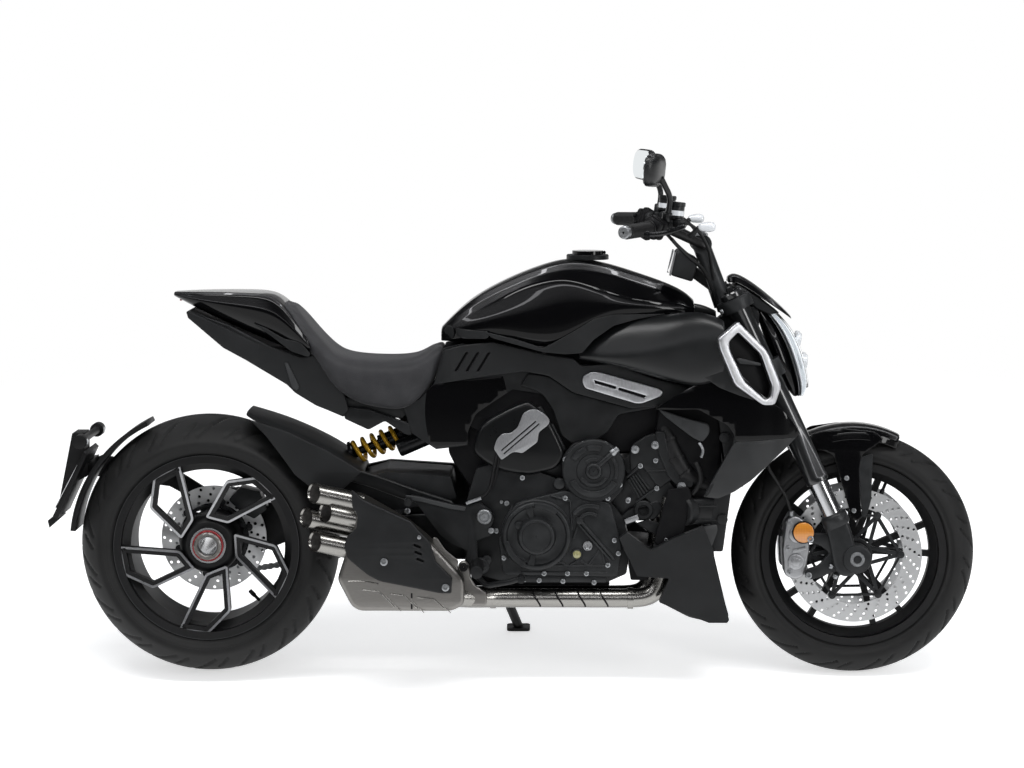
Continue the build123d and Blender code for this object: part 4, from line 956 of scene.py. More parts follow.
# side panel under the tank, with three slots
side_out = [(560, 100), (600, 116), (700, 126), (900, 128), (1100, 126), (1190, 124)]
slots = []
for k in range(3):
    x = 636 + 27 * k
    slots.append(rounded([(x - 26, 757), (x + 2, 804), (x + 8, 804), (x - 20, 757)], 3, 3))
side_panel = flat([rounded([(562, 724), (584, 808), (626, 820), (703, 830), (830, 800), (899, 790),
    (919, 772), (995, 778), (1093, 742), (1170, 722), (1190, 690), (1088, 672), (1040, 668), (900, 706),
    (840, 747), (781, 758), (700, 748)], 5)] + slots, -12, 0, 2.5)
bowed(side_panel, lambda x, z: through(side_out, x))
place(both_sides(side_panel), "side_panel_skins", "chassis", "matte_black", abs_matte)
slot_back = cut_plate([(600, 752), (640, 810), (716, 810), (690, 752)], 4, -13, -9, 0.8)
bowed(slot_back, lambda x, z: through(side_out, x))
place(both_sides(slot_back), "side_panel_slot_backs", "chassis", "matte_black", nylon)
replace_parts(bpy.data.objects["side_panel_skins"], "side_panels")


# frame sides: gloss panel below the seat, and the cast plate round the rear head
def gloss_out(x, z):
    """How far the gloss frame cover stands out: swollen at its middle, drawn in above and below."""
    swell = 8 * sin(pi * min(1, max(0, (x - 470) / 340)))
    return 99 + swell - (z - 660) ** 2 / 9000


frame_gloss = sheet([rounded([(560, 726), (781, 751), (801, 746), (752, 712), (663, 653), (643, 609),
    (643, 576), (565, 567), (506, 604), (486, 668), (525, 690)], 8)], 8, gloss_out, 2)
place(both_sides(frame_gloss), "frame_side_covers", "chassis", "gloss_black", enamel)
frame_cast = cut_plate([(790, 752), (842, 745), (899, 706), (1040, 668), (1100, 690), (1150, 700),
    (1100, 668), (1010, 652), (985, 610), (960, 590), (900, 578), (870, 600), (850, 662), (825, 700),
    (800, 712), (770, 722)], 8, -12, 0, 3)
bowed(frame_cast, lambda x, z: 112)
place(both_sides(frame_cast), "frame_cast_sides", "chassis", "swingarm_black", cast_black)

# the airbox and the wiring box behind the frame panels
airbox = cut_plate([(600, 640), (640, 700), (790, 744), (836, 806), (962, 802), (990, 744), (1100, 700),
    (1120, 640), (1096, 560), (940, 545), (860, 540), (760, 540), (680, 600)], 12, -96, 96, 8)
wiring_box = cut_plate([(594, 556), (600, 650), (690, 650), (724, 560), (724, 470), (646, 470), (612, 520)],
    10, -84, 84, 6)
place(join([airbox, wiring_box]), "airbox_shell", "chassis", "matte_black", nylon)
# the fans' shroud behind the radiators, and the bracket and rail round the sump
shroud = cut_plate([(1100, 606), (1106, 668), (1176, 690), (1256, 690), (1262, 560), (1250, 440),
    (1186, 424), (1156, 500)], 10, -118, 118, 8)
sump_bracket = cut_plate([(1040, 246), (1084, 246), (1094, 330), (1034, 336)], 6, -96, 128, 4)
sump_rail = cut_plate([(652, 226), (646, 296), (700, 300), (724, 264), (988, 264), (990, 226)], 6, -60, 96, 4)
place(join([shroud, sump_bracket, sump_rail]), "fan_shroud", "chassis", "matte_black", nylon)

# satin insert with its dark slots
insert = flat([rounded([(921, 734), (923, 748, 9), (943, 758, 9), (963, 757), (1105, 718), (1117, 710, 6),
    (1113, 699, 6), (1066, 681), (1051, 681), (928, 718)], 7),
    rounded([(950, 738), (1004, 722), (1002, 716), (952, 730)], 2),
    rounded([(1010, 720), (1076, 700), (1072, 694), (1008, 714)], 2)], 0, 9, 2.5)
bowed(insert, lambda x, z: 126.5)
place(both_sides(insert), "panel_insert_plates", "chassis", "satin_aluminium", ring_silver)
insert_back = cut_plate([(940, 742), (1090, 702), (1086, 688), (938, 728)], 4, 0, 4, 1)
bowed(insert_back, lambda x, z: 126.5)
place(both_sides(insert_back), "panel_insert_backs", "chassis", "matte_black", nylon)
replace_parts(bpy.data.objects["panel_insert_plates"], "panel_inserts")

# air ducts: a shoulder line runs forward and rises to the intake
duct_rings = []
for x, spots in [
    (914, [(112, 806), (124, 806), (130, 800), (132, 795), (130, 790), (122, 787), (112, 787), (112, 796)]),
    (945, [(112, 838), (132, 836), (146, 822), (151, 800), (150, 788), (138, 783), (112, 783), (112, 800)]),
    (1000, [(112, 876), (138, 873), (156, 846), (168, 800), (168, 784), (152, 774), (112, 772), (112, 820)]),
    (1060, [(114, 893), (144, 890), (168, 856), (184, 808), (184, 776), (168, 758), (118, 754), (112, 830)]),
    (1120, [(120, 900), (152, 897), (180, 868), (196, 820), (196, 762), (180, 742), (130, 738), (118, 830)]),
    (1180, [(146, 910), (166, 908), (190, 884), (203, 834), (203, 752), (188, 728), (156, 726), (146, 830)]),
    (1225, [(152, 905), (172, 904), (196, 884), (205, 838), (205, 756), (192, 732), (160, 730), (152, 830)]),
    (1262, [(156, 886), (176, 886), (198, 868), (204, 836), (204, 776), (194, 752), (166, 748), (156, 830)]),
]:
    duct_rings.append([Vector((x, -out, z)) for out, z in spots])
duct = loft(duct_rings, 3, sharp=(3, 6), sharpness=0.35, sharp_ends=0.7)
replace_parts(place(both_sides(duct), "air_duct_shells", "chassis", "matte_black", abs_satin, 60), "air_ducts")


# intake ring: a broad satin frame round a dark mouth, facing out and forward
intake_x, intake_out, intake_slant = 1320, 200, radians(18)


def intake_place(x, z, lift):
    """A point of the slanted intake plane, raised from it."""
    shift = (x - intake_x) / cos(intake_slant)
    across = shift * sin(intake_slant) - lift * cos(intake_slant)
    return Vector((intake_x + shift * cos(intake_slant) + lift * sin(intake_slant), across - intake_out, z))


ring_outer = rounded([(1246, 846, 8), (1250, 822), (1288, 733, 10), (1357, 682, 8), (1386, 681, 10),
    (1402, 729, 12), (1368, 812, 14), (1294, 886, 5)], 12, 5)
ring_inner = rounded([(1272, 838, 7), (1275, 817), (1312, 741, 8), (1362, 696, 5), (1374, 700, 5),
    (1379, 727, 8), (1350, 806, 10), (1294, 860, 5)], 10, 5)
ring_plate = flat([ring_outer, ring_inner], 0, 20, 5, 3)
vane = cut_plate([(1292, 795), (1300, 798), (1352, 784), (1352, 778), (1300, 784)], 2, 4, 14, 1.5)


def onto_intake(piece):
    """Move a plate drawn in the side view onto the slanted intake plane."""
    for corner in piece.data.vertices:
        corner.co = intake_place(corner.co.x, corner.co.z, -corner.co.y - 20)
    return piece


ring_plate = onto_intake(ring_plate)
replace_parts(place(both_sides(ring_plate), "intake_ring_frames", "chassis", "satin_aluminium", ring_silver,
    40), "intake_rings")
place(both_sides(onto_intake(vane)), "intake_vanes", "chassis", "satin_aluminium", cast_grey)
throat = flat([ring_inner], -14, -10, 1)
place(both_sides(onto_intake(throat)), "intake_throats", "chassis", "matte_black", nylon)
throat_wall = flat([inset_loop(ring_inner, -5), ring_inner], -13, 4, 1)
place(both_sides(onto_intake(throat_wall)), "intake_throat_walls", "chassis", "matte_black", nylon)

# radiator cowls: a gloss shell over a matte one, hollow where the air leaves
cowl_out = [(1088, 150), (1171, 176), (1240, 188), (1330, 190), (1400, 178), (1450, 160)]
gloss_cowl = sheet([rounded([(1096, 668), (1150, 706), (1215, 742), (1262, 770), (1296, 762), (1336, 722),
    (1372, 692), (1402, 672), (1432, 636), (1446, 614, 4), (1439, 603, 3), (1290, 594), (1286, 612),
    (1271, 634), (1200, 672), (1140, 670)], 7)],
    8, lambda x, z: through(cowl_out, x) - 0.0006 * max(0, z - 640) ** 2, 2)
place(both_sides(gloss_cowl), "radiator_cowl_tops", "chassis", "gloss_black", enamel, 50)
matte_cowl = sheet([rounded([
    (1290, 593), (1438, 602, 3), (1366, 534), (1327, 499), (1288, 472), (1249, 455), (1213, 459), (1244, 514),
    (1280, 580)], 6)], 8, lambda x, z: through(cowl_out, x) - 0.0006 * max(0, 560 - z) ** 2, 2)
# the lower cowl sides wear the ABS painted paler for the light off the floor
place(both_sides(matte_cowl), "radiator_cowl_sides", "chassis", "matte_black", abs_painted_floor_light, 50)
cowl_lip = cut_plate([(1098, 672), (1190, 675), (1203, 674), (1273, 635), (1288, 610), (1282, 580),
    (1244, 514), (1213, 459), (1222, 458), (1254, 512), (1290, 580), (1296, 612), (1278, 642), (1206, 683),
    (1180, 684)], 4, -26, -3, 2)
bowed(cowl_lip, lambda x, z: through(cowl_out, x))
place(both_sides(cowl_lip), "radiator_cowl_lips", "chassis", "matte_black", abs_matte)
cowl_inner = cut_plate([(1104, 668), (1180, 644), (1228, 634, 10), (1230, 612), (1212, 588), (1190, 598),
    (1120, 650)], 8, -40, -30, 3)
bowed(cowl_inner, lambda x, z: through(cowl_out, x))
place(both_sides(cowl_inner), "radiator_cowl_inners", "chassis", "matte_black", pale_trim)
# the duct's front end meets the intake ring
duct_front = sheet([rounded([(1200, 760), (1230, 850), (1262, 850), (1270, 800), (1296, 740), (1350, 690),
    (1300, 706), (1250, 726)], 6)], 10, lambda x, z: 200 - 0.0014 * (x - 1240) ** 2, 2)
place(both_sides(duct_front), "air_duct_fronts", "chassis", "matte_black", abs_satin, 50)
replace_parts(bpy.data.objects["radiator_cowl_tops"], "radiator_cowls")

# belly pan: a deep cheek with a notch line on each side of the pan
belly_out = [(1020, 150), (1100, 160), (1200, 168), (1282, 150)]
cheek = sheet([rounded([(1020, 331), (1094, 318), (1107, 323), (1152, 356), (1216, 384), (1250, 389),
    (1250, 371), (1231, 322), (1238, 308), (1280, 161, 5), (1274, 150, 5), (1230, 149), (1181, 161),
    (1113, 196), (1133, 239), (1142, 270), (1133, 286), (1094, 280), (1057, 263)], 8)],
    8, lambda x, z: through(belly_out, x) - 0.0012 * max(0, 250 - z) ** 2, 2)
# the cheeks wear the ABS painted paler for the light off the floor
place(both_sides(cheek), "belly_pan_cheeks", "chassis", "matte_black", abs_painted_floor_light, 50)
belly_line = cut_plate([(1188, 302), (1238, 300), (1240, 292), (1226, 290)], 3, -2, 1.5, 0.8)
bowed(belly_line, lambda x, z: through(belly_out, x))
place(both_sides(belly_line), "belly_pan_notches", "chassis", "matte_black", nylon)

# radiators: two finned cores between end tanks, with round hose ends at their sides
core_upper = cut_plate([(1254, 648), (1282, 648), (1308, 482), (1282, 472)], 3, -136, 136, 1)
core_lower = cut_plate([(1248, 460), (1278, 470), (1260, 324), (1230, 324)], 3, -136, 136, 1)
place(core_upper, "radiator_upper_core", "chassis", "radiator_black", radiator_core)
place(core_lower, "radiator_lower_core", "chassis", "radiator_black", radiator_core)
tanks = []
for outline in (
    [(1250, 652), (1286, 652), (1314, 480), (1278, 468)],
    [(1244, 464), (1284, 474), (1264, 320), (1224, 320)],
):
    tanks.append(cut_plate(outline, 5, 130, 146, 3))
tanks.append(disc(1262, 400, 140, 154, 13, 2))
tanks.append(disc(1266, 600, 140, 154, 13, 2))
place(both_sides(join(tanks)), "radiator_end_tanks", "chassis", "radiator_black", abs_matte)
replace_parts(bpy.data.objects["radiator_upper_core"], "radiators")


# ---------------------------------------------------------------- seat
def seat_ring(x, width, top, edge, bottom):
    """One cross-section of the seat: dished middle, rolled edge, falling side."""
    return mirrored_ring(x, [
        (0, top), (0.5 * width, top + 1), (0.82 * width, top - 3), (0.97 * width, top - 14),
        (width, edge), (0.985 * width, (edge + bottom) / 2), (0.95 * width, bottom + 6),
        (0.8 * width, bottom), (0, bottom)])


seat_base = loft([seat_ring(190, 96, 930, 908, 893), seat_ring(212, 108, 914, 890, 866),
    seat_ring(250, 124, 868, 842, 812), seat_ring(290, 133, 820, 794, 760),
    seat_ring(325, 138, 790, 762, 712), seat_ring(372, 140, 781, 750, 678),
    seat_ring(440, 138, 778, 748, 666), seat_ring(490, 128, 780, 750, 662),
    seat_ring(526, 114, 788, 758, 690), seat_ring(548, 102, 806, 778, 716),
    seat_ring(566, 92, 820, 797, 752), seat_ring(580, 82, 822, 806, 784)], 2, sharp=(6, 12),
    sharpness=0.4, sharp_ends=0.3)


def puffed(piece, voxel, pressure, cap):
    """Fill a pad by cloth simulation, holding how far any point may move."""
    modify(piece, "REMESH", mode="VOXEL", voxel_size=voxel)
    piece.data.transform(Matrix.Scale(0.001, 4))
    before = [corner.co.copy() for corner in piece.data.vertices]
    select_only(piece)
    cloth = piece.modifiers.new("fill", "CLOTH")
    cloth.settings.use_pressure = True
    cloth.settings.uniform_pressure_force = pressure
    cloth.settings.effector_weights.gravity = 0
    cloth.settings.quality = 4
    scene = bpy.context.scene
    for step in range(1, 21):
        scene.frame_set(step)
    bpy.ops.object.modifier_apply(modifier="fill")
    scene.frame_set(1)
    for corner, start in zip(piece.data.vertices, before):
        drift = corner.co - start
        if drift.length > cap:
            corner.co = start + drift.normalized() * cap
    piece.data.transform(Matrix.Scale(1000, 4))
    return piece


seat_pad = puffed(seat_base, voxel=6, pressure=3, cap=0.005)
modify(seat_pad, "SMOOTH", factor=0.5, iterations=6)
modify(seat_pad, "SUBSURF", levels=1, render_levels=1)
place(seat_pad, "seat_cover", "chassis", "seat_leather", seat_vinyl, 80)
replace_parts(seat_pad, "seat")

# ---------------------------------------------------------------- tail
tail_rings = []
for x, half in [
    (-82, [(0, 944), (20, 944), (30, 942), (34, 938), (28, 934), (0, 933)]),
    (-40, [(0, 946), (44, 945), (60, 941), (64, 930), (56, 914), (0, 910)]),
    (20, [(0, 947), (62, 946), (78, 941), (84, 920), (74, 884), (0, 880)]),
    (100, [(0, 946), (78, 945), (94, 939), (102, 912), (92, 850), (0, 844)]),
    (165, [(0, 944), (88, 942), (103, 936), (113, 904), (104, 822), (0, 816)]),
    (205, [(0, 912), (96, 906), (108, 898), (119, 876), (112, 806), (0, 800)]),
    (262, [(0, 832), (106, 830), (118, 826), (126, 816), (122, 796), (0, 790)]),
]:
    tail_rings.append(mirrored_ring(x, half))
tail_shell = loft(tail_rings, 3, sharp=(1, 2, 3, 7, 8, 9), sharpness=0.7, sharp_ends=0.5)
place(tail_shell, "tail_shell", "chassis", "gloss_black", enamel, 60)
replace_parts(tail_shell, "tail")
tail_fin = cut_plate([(118, 874), (150, 862), (196, 836), (236, 828), (262, 800), (256, 792), (212, 806),
    (170, 838)], 8, -6, 2, 1.5)
bowed(tail_fin, lambda x, z: through([(118, 100), (200, 113), (262, 124)], x))
place(both_sides(tail_fin), "tail_side_fins", "chassis", "matte_black", abs_matte)

under_out = [(-46, 46), (0, 66), (100, 88), (200, 104), (300, 112), (400, 112), (520, 104)]
under_side = cut_plate([
    (-42, 904), (-38, 890), (48, 816), (102, 784), (202, 722), (222, 702), (272, 672), (338, 646), (352, 660),
    (342, 700), (312, 744), (268, 796), (240, 790), (160, 816), (60, 866), (4, 884)], 6, -10, 0, 3)
bowed(under_side, lambda x, z: through(under_out, x) - 0.0006 * max(0, 740 - z) ** 2)
place(both_sides(under_side), "undertail_sides", "chassis", "matte_black", abs_matte, 50)
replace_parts(place(polished("undertail", 3), "undertail_tray", "chassis", "matte_black", abs_matte),
    "undertail")
rail = cut_plate([(350, 668), (400, 664), (500, 628), (506, 598), (490, 600), (440, 634), (400, 612),
    (340, 640)], 6, 92, 104, 3)
place(both_sides(rail), "subframe_rails", "chassis", "swingarm_black", cast_black)
strap = cut_plate([(196, 778), (204, 776), (232, 718), (226, 708), (214, 716)], 4, 0, 4, 1)
bowed(strap, lambda x, z: through(under_out, x) + 0.5 - 0.0006 * max(0, 740 - z) ** 2)
place(both_sides(strap), "tail_hand_straps", "chassis", "axle_steel", pale_trim)

# ---------------------------------------------------------------- engine, right side
def side_at(x, out, z):
    """A point by its distance out to the bike's right."""
    return Vector((x, -out, z))


def turned(profile, x, z, steps=64):
    """A turned cover across the bike: (out, radius) points round a centre."""
    return lathe(profile, (x, 0, z), -across_bike, steps)


def sector(x, z, inner, outer, start, end, near, far, edge=1.2):
    """A raised arc on a cover, between two angles in degrees."""
    count = max(4, int(abs(end - start) / 8))
    turns = [radians(start + (end - start) * k / count) for k in range(count + 1)]
    loop = [(x + outer * cos(turn), z + outer * sin(turn)) for turn in turns]
    loop += [(x + inner * cos(turn), z + inner * sin(turn)) for turn in reversed(turns)]
    return flat([loop], near, far, edge)


clutch_x, clutch_z = 811, 361
pump_x, pump_z = 949, 518
casting = [cut_plate([
    (730, 262), (1008, 257), (1019, 330), (990, 438), (880, 469), (760, 439), (717, 350)], 12, 128, 146, 3)]
casting.append(turned([(126, 1), (126, 87), (150, 87), (153, 84), (166, 84), (171, 82), (173.5, 78),
    (173, 74), (166, 70), (163, 60), (165, 48), (176, 45), (185, 42.5), (187, 39), (186.5, 36), (184, 34.5),
    (184, 1)], clutch_x, clutch_z))
for start, end in ((98, 112), (-108, -94)):
    casting.append(sector(clutch_x, clutch_z, 42, 82, start, end, 150, 171, 2))
casting.append(sector(clutch_x, clutch_z, 68, 82, 50, 94, 150, 175, 2))
casting.append(sector(clutch_x, clutch_z, 68, 82, -170, -112, 150, 174, 2))
casting.append(disc(768, 387, 150, 171, 10, 3))
casting.append(turned([(126, 1), (126, 76), (146, 76), (149, 73), (149, 42), (152, 40), (152, 21),
    (157, 19), (160, 18.5), (162, 16), (162, 13), (158, 11), (158, 1)], pump_x, pump_z))
for inner, outer, start, end in (
    (50, 63, 72, 104), (50, 63, 110, 150), (50, 65, 205, 332), (29, 38, 208, 330), (52, 60, -20, 40),
    (24, 32, 70, 130),
):
    casting.append(sector(pump_x, pump_z, inner, outer, start, end, 146, 155, 2))
casting.append(bar(side_at(955, 152, 526), side_at(996, 152, 563), 7, 1.5, 20))
casting.append(sector(940, 388, 40, 50, 60, 150, 140, 154, 2))
casting.append(sector(940, 388, 22, 30, 50, 165, 140, 152, 2))
casting.append(disc(866, 485, 128, 140, 14, 3))
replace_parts(place(join(casting), "clutch_cover_casting", "chassis", "engine_grey", cast_grey, 40),
    "clutch_cover")
# the pump stands on its own joint face
pump_foot = cut_plate([(880, 470), (870, 546), (900, 586), (978, 592), (1018, 552), (1022, 470), (984, 430),
    (930, 452)], 14, 120, 138, 4)
place(pump_foot, "pump_joint_plate", "chassis", "engine_grey", cast_black, 40)

ribs = []
for start, end, radius in (
    ((770, 285), (984, 285), 3), ((772, 268), (982, 268), 2.5), ((846, 456), (892, 444), 3),
    ((892, 444), (897, 372), 3), ((865, 297), (888, 284), 3), ((888, 284), (914, 300), 3),
    ((914, 300), (936, 287), 3), ((936, 287), (969, 330), 3), ((969, 330), (977, 290), 3),
    ((900, 352), (914, 394), 3.5), ((740, 300), (726, 350), 3), ((724, 356), (752, 432), 3),
):
    ribs.append(bar(side_at(start[0], 146, start[1]), side_at(end[0], 146, end[1]), radius, 0.8, 12))
ribs.append(bar(side_at(919, 151, 393), side_at(1000, 151, 302), 4, 1, 16))
ribs.append(bar(side_at(911, 151, 388), side_at(990, 151, 300), 2.5, 0.8, 12))
ribs.append(disc(915, 396, 140, 155, 9, 2))
ribs.append(block((876, -134, 252), (210, 10, 20), 4))
place(join(ribs), "clutch_cover_ribs", "chassis", "engine_grey", cast_grey, 40)

cover_screws = [
    (924, 584, 139), (977, 583, 139), (880, 545, 139), (1014, 544, 139), (1013, 483, 139), (1033, 443, 130),
    (880, 451, 146), (984, 450, 141), (738, 436, 130), (713, 368, 130), (731, 304, 146), (829, 266, 146),
    (886, 266, 146), (932, 266, 146), (984, 287, 146), (817, 248, 139), (875, 246, 139), (1000, 348, 147),
    (1010, 316, 147), (951, 243, 139)]
place(screws([side_at(x, out - 1, z) for x, z, out in cover_screws], -across_bike, 6, 7),
      "engine_cover_screws", "chassis", "axle_steel", zinc)
small_screws = [(725, 439, 130), (1066, 300, 128), (1125, 350, 146), (1104, 325, 146), (1058, 276, 158),
    (782, 247, 134)]
place(screws([side_at(x, out - 1, z) for x, z, out in small_screws], -across_bike, 4, 5),
      "engine_small_screws", "chassis", "axle_steel", zinc)
oil_cap = turned([(144, 1), (144, 13), (151, 13), (153, 11.5), (153, 8), (150, 6), (150, 1)], 935, 334, 32)
place(oil_cap, "oil_gallery_plug", "chassis", "axle_steel", plated_steel)
glass = turned([(144, 1), (144, 10), (149, 10), (150, 8), (150, 1)], 909, 313, 32)
place(glass, "oil_sight_glass", "chassis", "lamp_housing", sight_amber)
glass_ring = turned([(144, 10.5), (144, 14), (150, 14), (152, 12.5), (151, 10.5)], 909, 313, 32)
place(glass_ring, "oil_sight_ring", "chassis", "engine_grey", cast_grey)
fitting = [bar(side_at(992, 152, 560), side_at(1001, 152, 568), 10, 2, 6),
    bar(side_at(999, 152, 566), side_at(1008, 152, 574), 8, 2, 20)]
place(join(fitting), "pump_pipe_fitting", "chassis", "axle_steel", zinc)

# front head, its ribbed block and its fixings
head = cut_plate([
    (1036, 556), (1044, 580), (1079, 603), (1104, 608), (1118, 596), (1118, 560), (1150, 500), (1108, 470),
    (1078, 514), (1063, 530), (1038, 512)], 10, 112, 128, 4)
head_rib = cut_plate([(1098, 612), (1122, 613), (1130, 570), (1153, 520), (1180, 492), (1196, 492),
    (1192, 476), (1160, 470), (1130, 502), (1106, 560)], 7, 116, 132, 4)
seam = [bar(side_at(1078, 128, 514), side_at(1126, 128, 517), 2.5, 0.8, 12),
    bar(side_at(1126, 128, 517), side_at(1151, 128, 492), 2.5, 0.8, 12)]
block_back = cut_plate([(1029, 492), (1057, 515), (1091, 474), (1059, 440)], 5, 112, 124, 2)
fins = []
for k in range(5):
    share = 0.1 + 0.2 * k
    start = Vector((1031, 494)).lerp(Vector((1057, 513)), share)
    end = Vector((1060, 444)).lerp(Vector((1089, 472)), share)
    fins.append(bar(side_at(start.x, 125, start.y), side_at(end.x, 125, end.y), 3, 1, 12))
fins.append(bar(side_at(1030, 128, 500), side_at(1062, 128, 527), 3.5, 1, 12))
fins.append(bar(side_at(1052, 128, 438), side_at(1102, 128, 472), 3.5, 1, 12))
hub = turned([(112, 1), (112, 24), (130, 24), (133, 21), (133, 14), (126, 11), (126, 1)], 1071, 419, 40)
lower_arm = cut_plate([(1010, 398), (1034, 420), (1108, 444), (1120, 420), (1100, 396), (1060, 392)],
    8, 112, 126, 4)
place(join([head, head_rib, block_back, hub, lower_arm] + seam + fins),
      "front_head_casting", "chassis", "engine_grey", cast_black, 40)
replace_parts(place(polished("front_cylinders", 3), "front_cylinder_castings", "chassis", "engine_grey",
    cast_black), "front_cylinders")
caps = [disc(x, z, 124, out, radius, 1.5, 32) for x, z, out, radius in (
    (1050, 568, 132, 10), (1099, 579, 132, 10), (1163, 478, 137, 11))]
place(join(caps), "front_head_plugs", "chassis", "axle_steel", zinc)
place(screws([side_at(x, out, z) for x, z, out in ((1050, 568, 131), (1099, 579, 131), (1163, 478, 136),
    (1100, 541, 127), (1034, 445, 127), (1103, 473, 129), (1063, 528, 129))], -across_bike, 6, 5),
    "front_head_screws", "chassis", "axle_steel", zinc)
silver_strip = block((1042, -140, 398), (34, 4, 13), 1.5, Matrix.Rotation(radians(-22), 4, "Y"))
place(silver_strip, "front_bracket_strip", "chassis", "satin_aluminium", satin_aluminium)

# hoses and the frame's lower bracket in front of the engine
hose = tube([(1120, -96, 622), (1134, -112, 580), (1156, -118, 532), (1186, -112, 494), (1226, -100, 478)],
    22, 24)
cuffs = []
for spot, run in (((1131, -108, 590), (0.3, -0.15, -1)), ((1150, -117, 545), (0.4, -0.05, -1)),
    ((1172, -117, 510), (0.7, 0, -0.8))):
    cuffs.append(lathe([(-3, 21), (-3, 24), (3, 24), (3, 21)], spot, run, 32))
place(join([hose] + cuffs), "radiator_hoses", "chassis", "matte_black", soft_rubber, 50)
can = lathe([(-14, 1), (-14, 31), (-9, 36), (9, 36), (14, 31), (14, 26), (11, 24), (11, 1)],
            (1176, -128, 418), (-0.78, -0.62, 0), 48)
place(can, "coolant_hose_boss", "chassis", "matte_black", abs_matte)
tank_box = [block((1222, -134, 418), (66, 22, 62), 5)]
for k in range(2):
    tank_box.append(block((1218, -146, 398 + 34 * k), (60, 4, 4), 1))
place(join(tank_box), "coolant_tank_side", "chassis", "matte_black", abs_satin)
bracket = cut_plate([(1162, 456), (1147, 421), (1139, 373), (1102, 322), (1092, 330), (1112, 372),
    (1128, 424), (1146, 462)], 6, 138, 146, 2)
grey_plate = cut_plate([(1052, 386), (1073, 373), (1102, 356), (1110, 388), (1080, 396)], 4, 120, 126, 2)
place(join([bracket, grey_plate]), "front_engine_bracket", "chassis", "matte_black", abs_matte)
hook = tube([(1204, -152, 588), (1213, -153, 578), (1214, -153, 562), (1209, -152, 552)], 4, 12)
place(hook, "hose_clip", "chassis", "axle_steel", zinc)
loom = [
    tube([(716, -140, 566), (706, -146, 520), (700, -148, 480), (686, -150, 456), (664, -152, 446)], 4, 10),
    tube([(724, -138, 566), (716, -142, 530), (712, -142, 500), (700, -144, 470)], 3, 10),
    tube([(1196, -146, 540), (1212, -144, 510), (1206, -140, 480), (1190, -134, 460)], 6, 12),
]
place(join(loom), "engine_hoses", "chassis", "hose_black", soft_rubber, 50)
place(tube([(640, -153, 438), (656, -153, 445), (676, -152, 451)], 4.5, 12), "hose_steel_end", "chassis",
    "axle_steel", zinc)

# rear head: a smooth black cover under a satin plate with two grooves
head_cover = flat([rounded([(655, 560), (660, 592), (676, 628), (700, 646), (748, 672), (790, 688),
    (812, 672), (842, 640), (866, 590), (882, 554), (858, 520), (790, 504), (724, 516), (690, 532)],
    22, 5)], 112, 140, 11, 4)
place(head_cover, "rear_head_cover", "chassis", "swingarm_black", satin_paint, 60)
plate_line = [(706, 572), (714, 594), (727, 608), (747, 609), (764, 622), (772, 642), (778, 658, 14),
    (796, 668, 10), (815, 666), (836, 651), (843, 639), (838, 629), (816, 612), (813, 588), (776, 560),
    (764, 563), (752, 563), (725, 543)]
head_plate = flat([
    rounded(plate_line, 6, 4), [(730, 560), (816, 634), (818, 631), (732, 557)],
    [(724, 568), (808, 640), (810, 637), (726, 565)],
], 140, 146, 1.5)
place(head_plate, "rear_head_plate", "chassis", "satin_aluminium", satin_aluminium)
place(flat([inset_loop([point[:2] for point in plate_line], 4)], 138, 142, 0.5),
    "rear_head_plate_back", "chassis", "engine_grey", cast_black)
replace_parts(place(polished("rear_cylinders", 3), "rear_cylinder_castings", "chassis", "engine_grey",
    cast_black), "rear_cylinders")
place(screws([side_at(776, 141, 500)], -across_bike, 6, 5), "rear_head_screw", "chassis", "axle_steel", zinc)
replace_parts(place(polished("engine_case", 4), "crankcase_casting", "chassis", "engine_grey", cast_black),
    "engine_case")

# ---------------------------------------------------------------- engine, left side
alternator_x, alternator_z = 918, 346
shaft_x, shaft_z = 752, 372
alternator = [
    turned([(-126, 1), (-126, 80), (-146, 80), (-150, 76), (-154, 74), (-155, 62), (-152, 58), (-152, 40),
        (-157, 36), (-158, 14), (-155, 11), (-155, 1)], alternator_x, alternator_z),
    cut_plate([(840, 290), (960, 266), (1006, 330), (980, 430), (880, 460), (838, 420)], 12, -150, -128, 3)]
for k in range(8):
    turn = 45 * k
    alternator.append(
        sector(alternator_x, alternator_z, 60, 74, turn + 6, turn + 39, -156, -150, 1.5))
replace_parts(place(join(alternator), "alternator_cover_casting", "chassis", "engine_grey", cast_grey, 40),
    "alternator_cover")
left_screws = [side_at(alternator_x + 84 * cos(radians(t)), -149, alternator_z + 84 * sin(radians(t)))
    for t in (14, 60, 104, 150, 196, 244, 290, 336)]
place(screws(left_screws, across_bike, 6, 6), "alternator_cover_screws", "chassis", "axle_steel", zinc)
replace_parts(place(polished("sprocket_cover", 4), "sprocket_cover_casting", "chassis", "engine_grey",
    cast_grey), "sprocket_cover")
place(screws([side_at(shaft_x + 60 * cos(radians(t)), -189.5, shaft_z + 60 * sin(radians(t)))
    for t in (70, 190, 310)], across_bike, 6, 5), "sprocket_cover_screws", "chassis", "axle_steel", zinc)
place(screws([side_at(x, -128, z) for x, z in ((660, 300), (668, 480), (740, 520), (840, 490), (1010, 300),
    (1012, 400), (960, 440), (700, 262), (940, 252))], across_bike, 6, 6),
    "crankcase_left_screws", "chassis", "axle_steel", zinc)

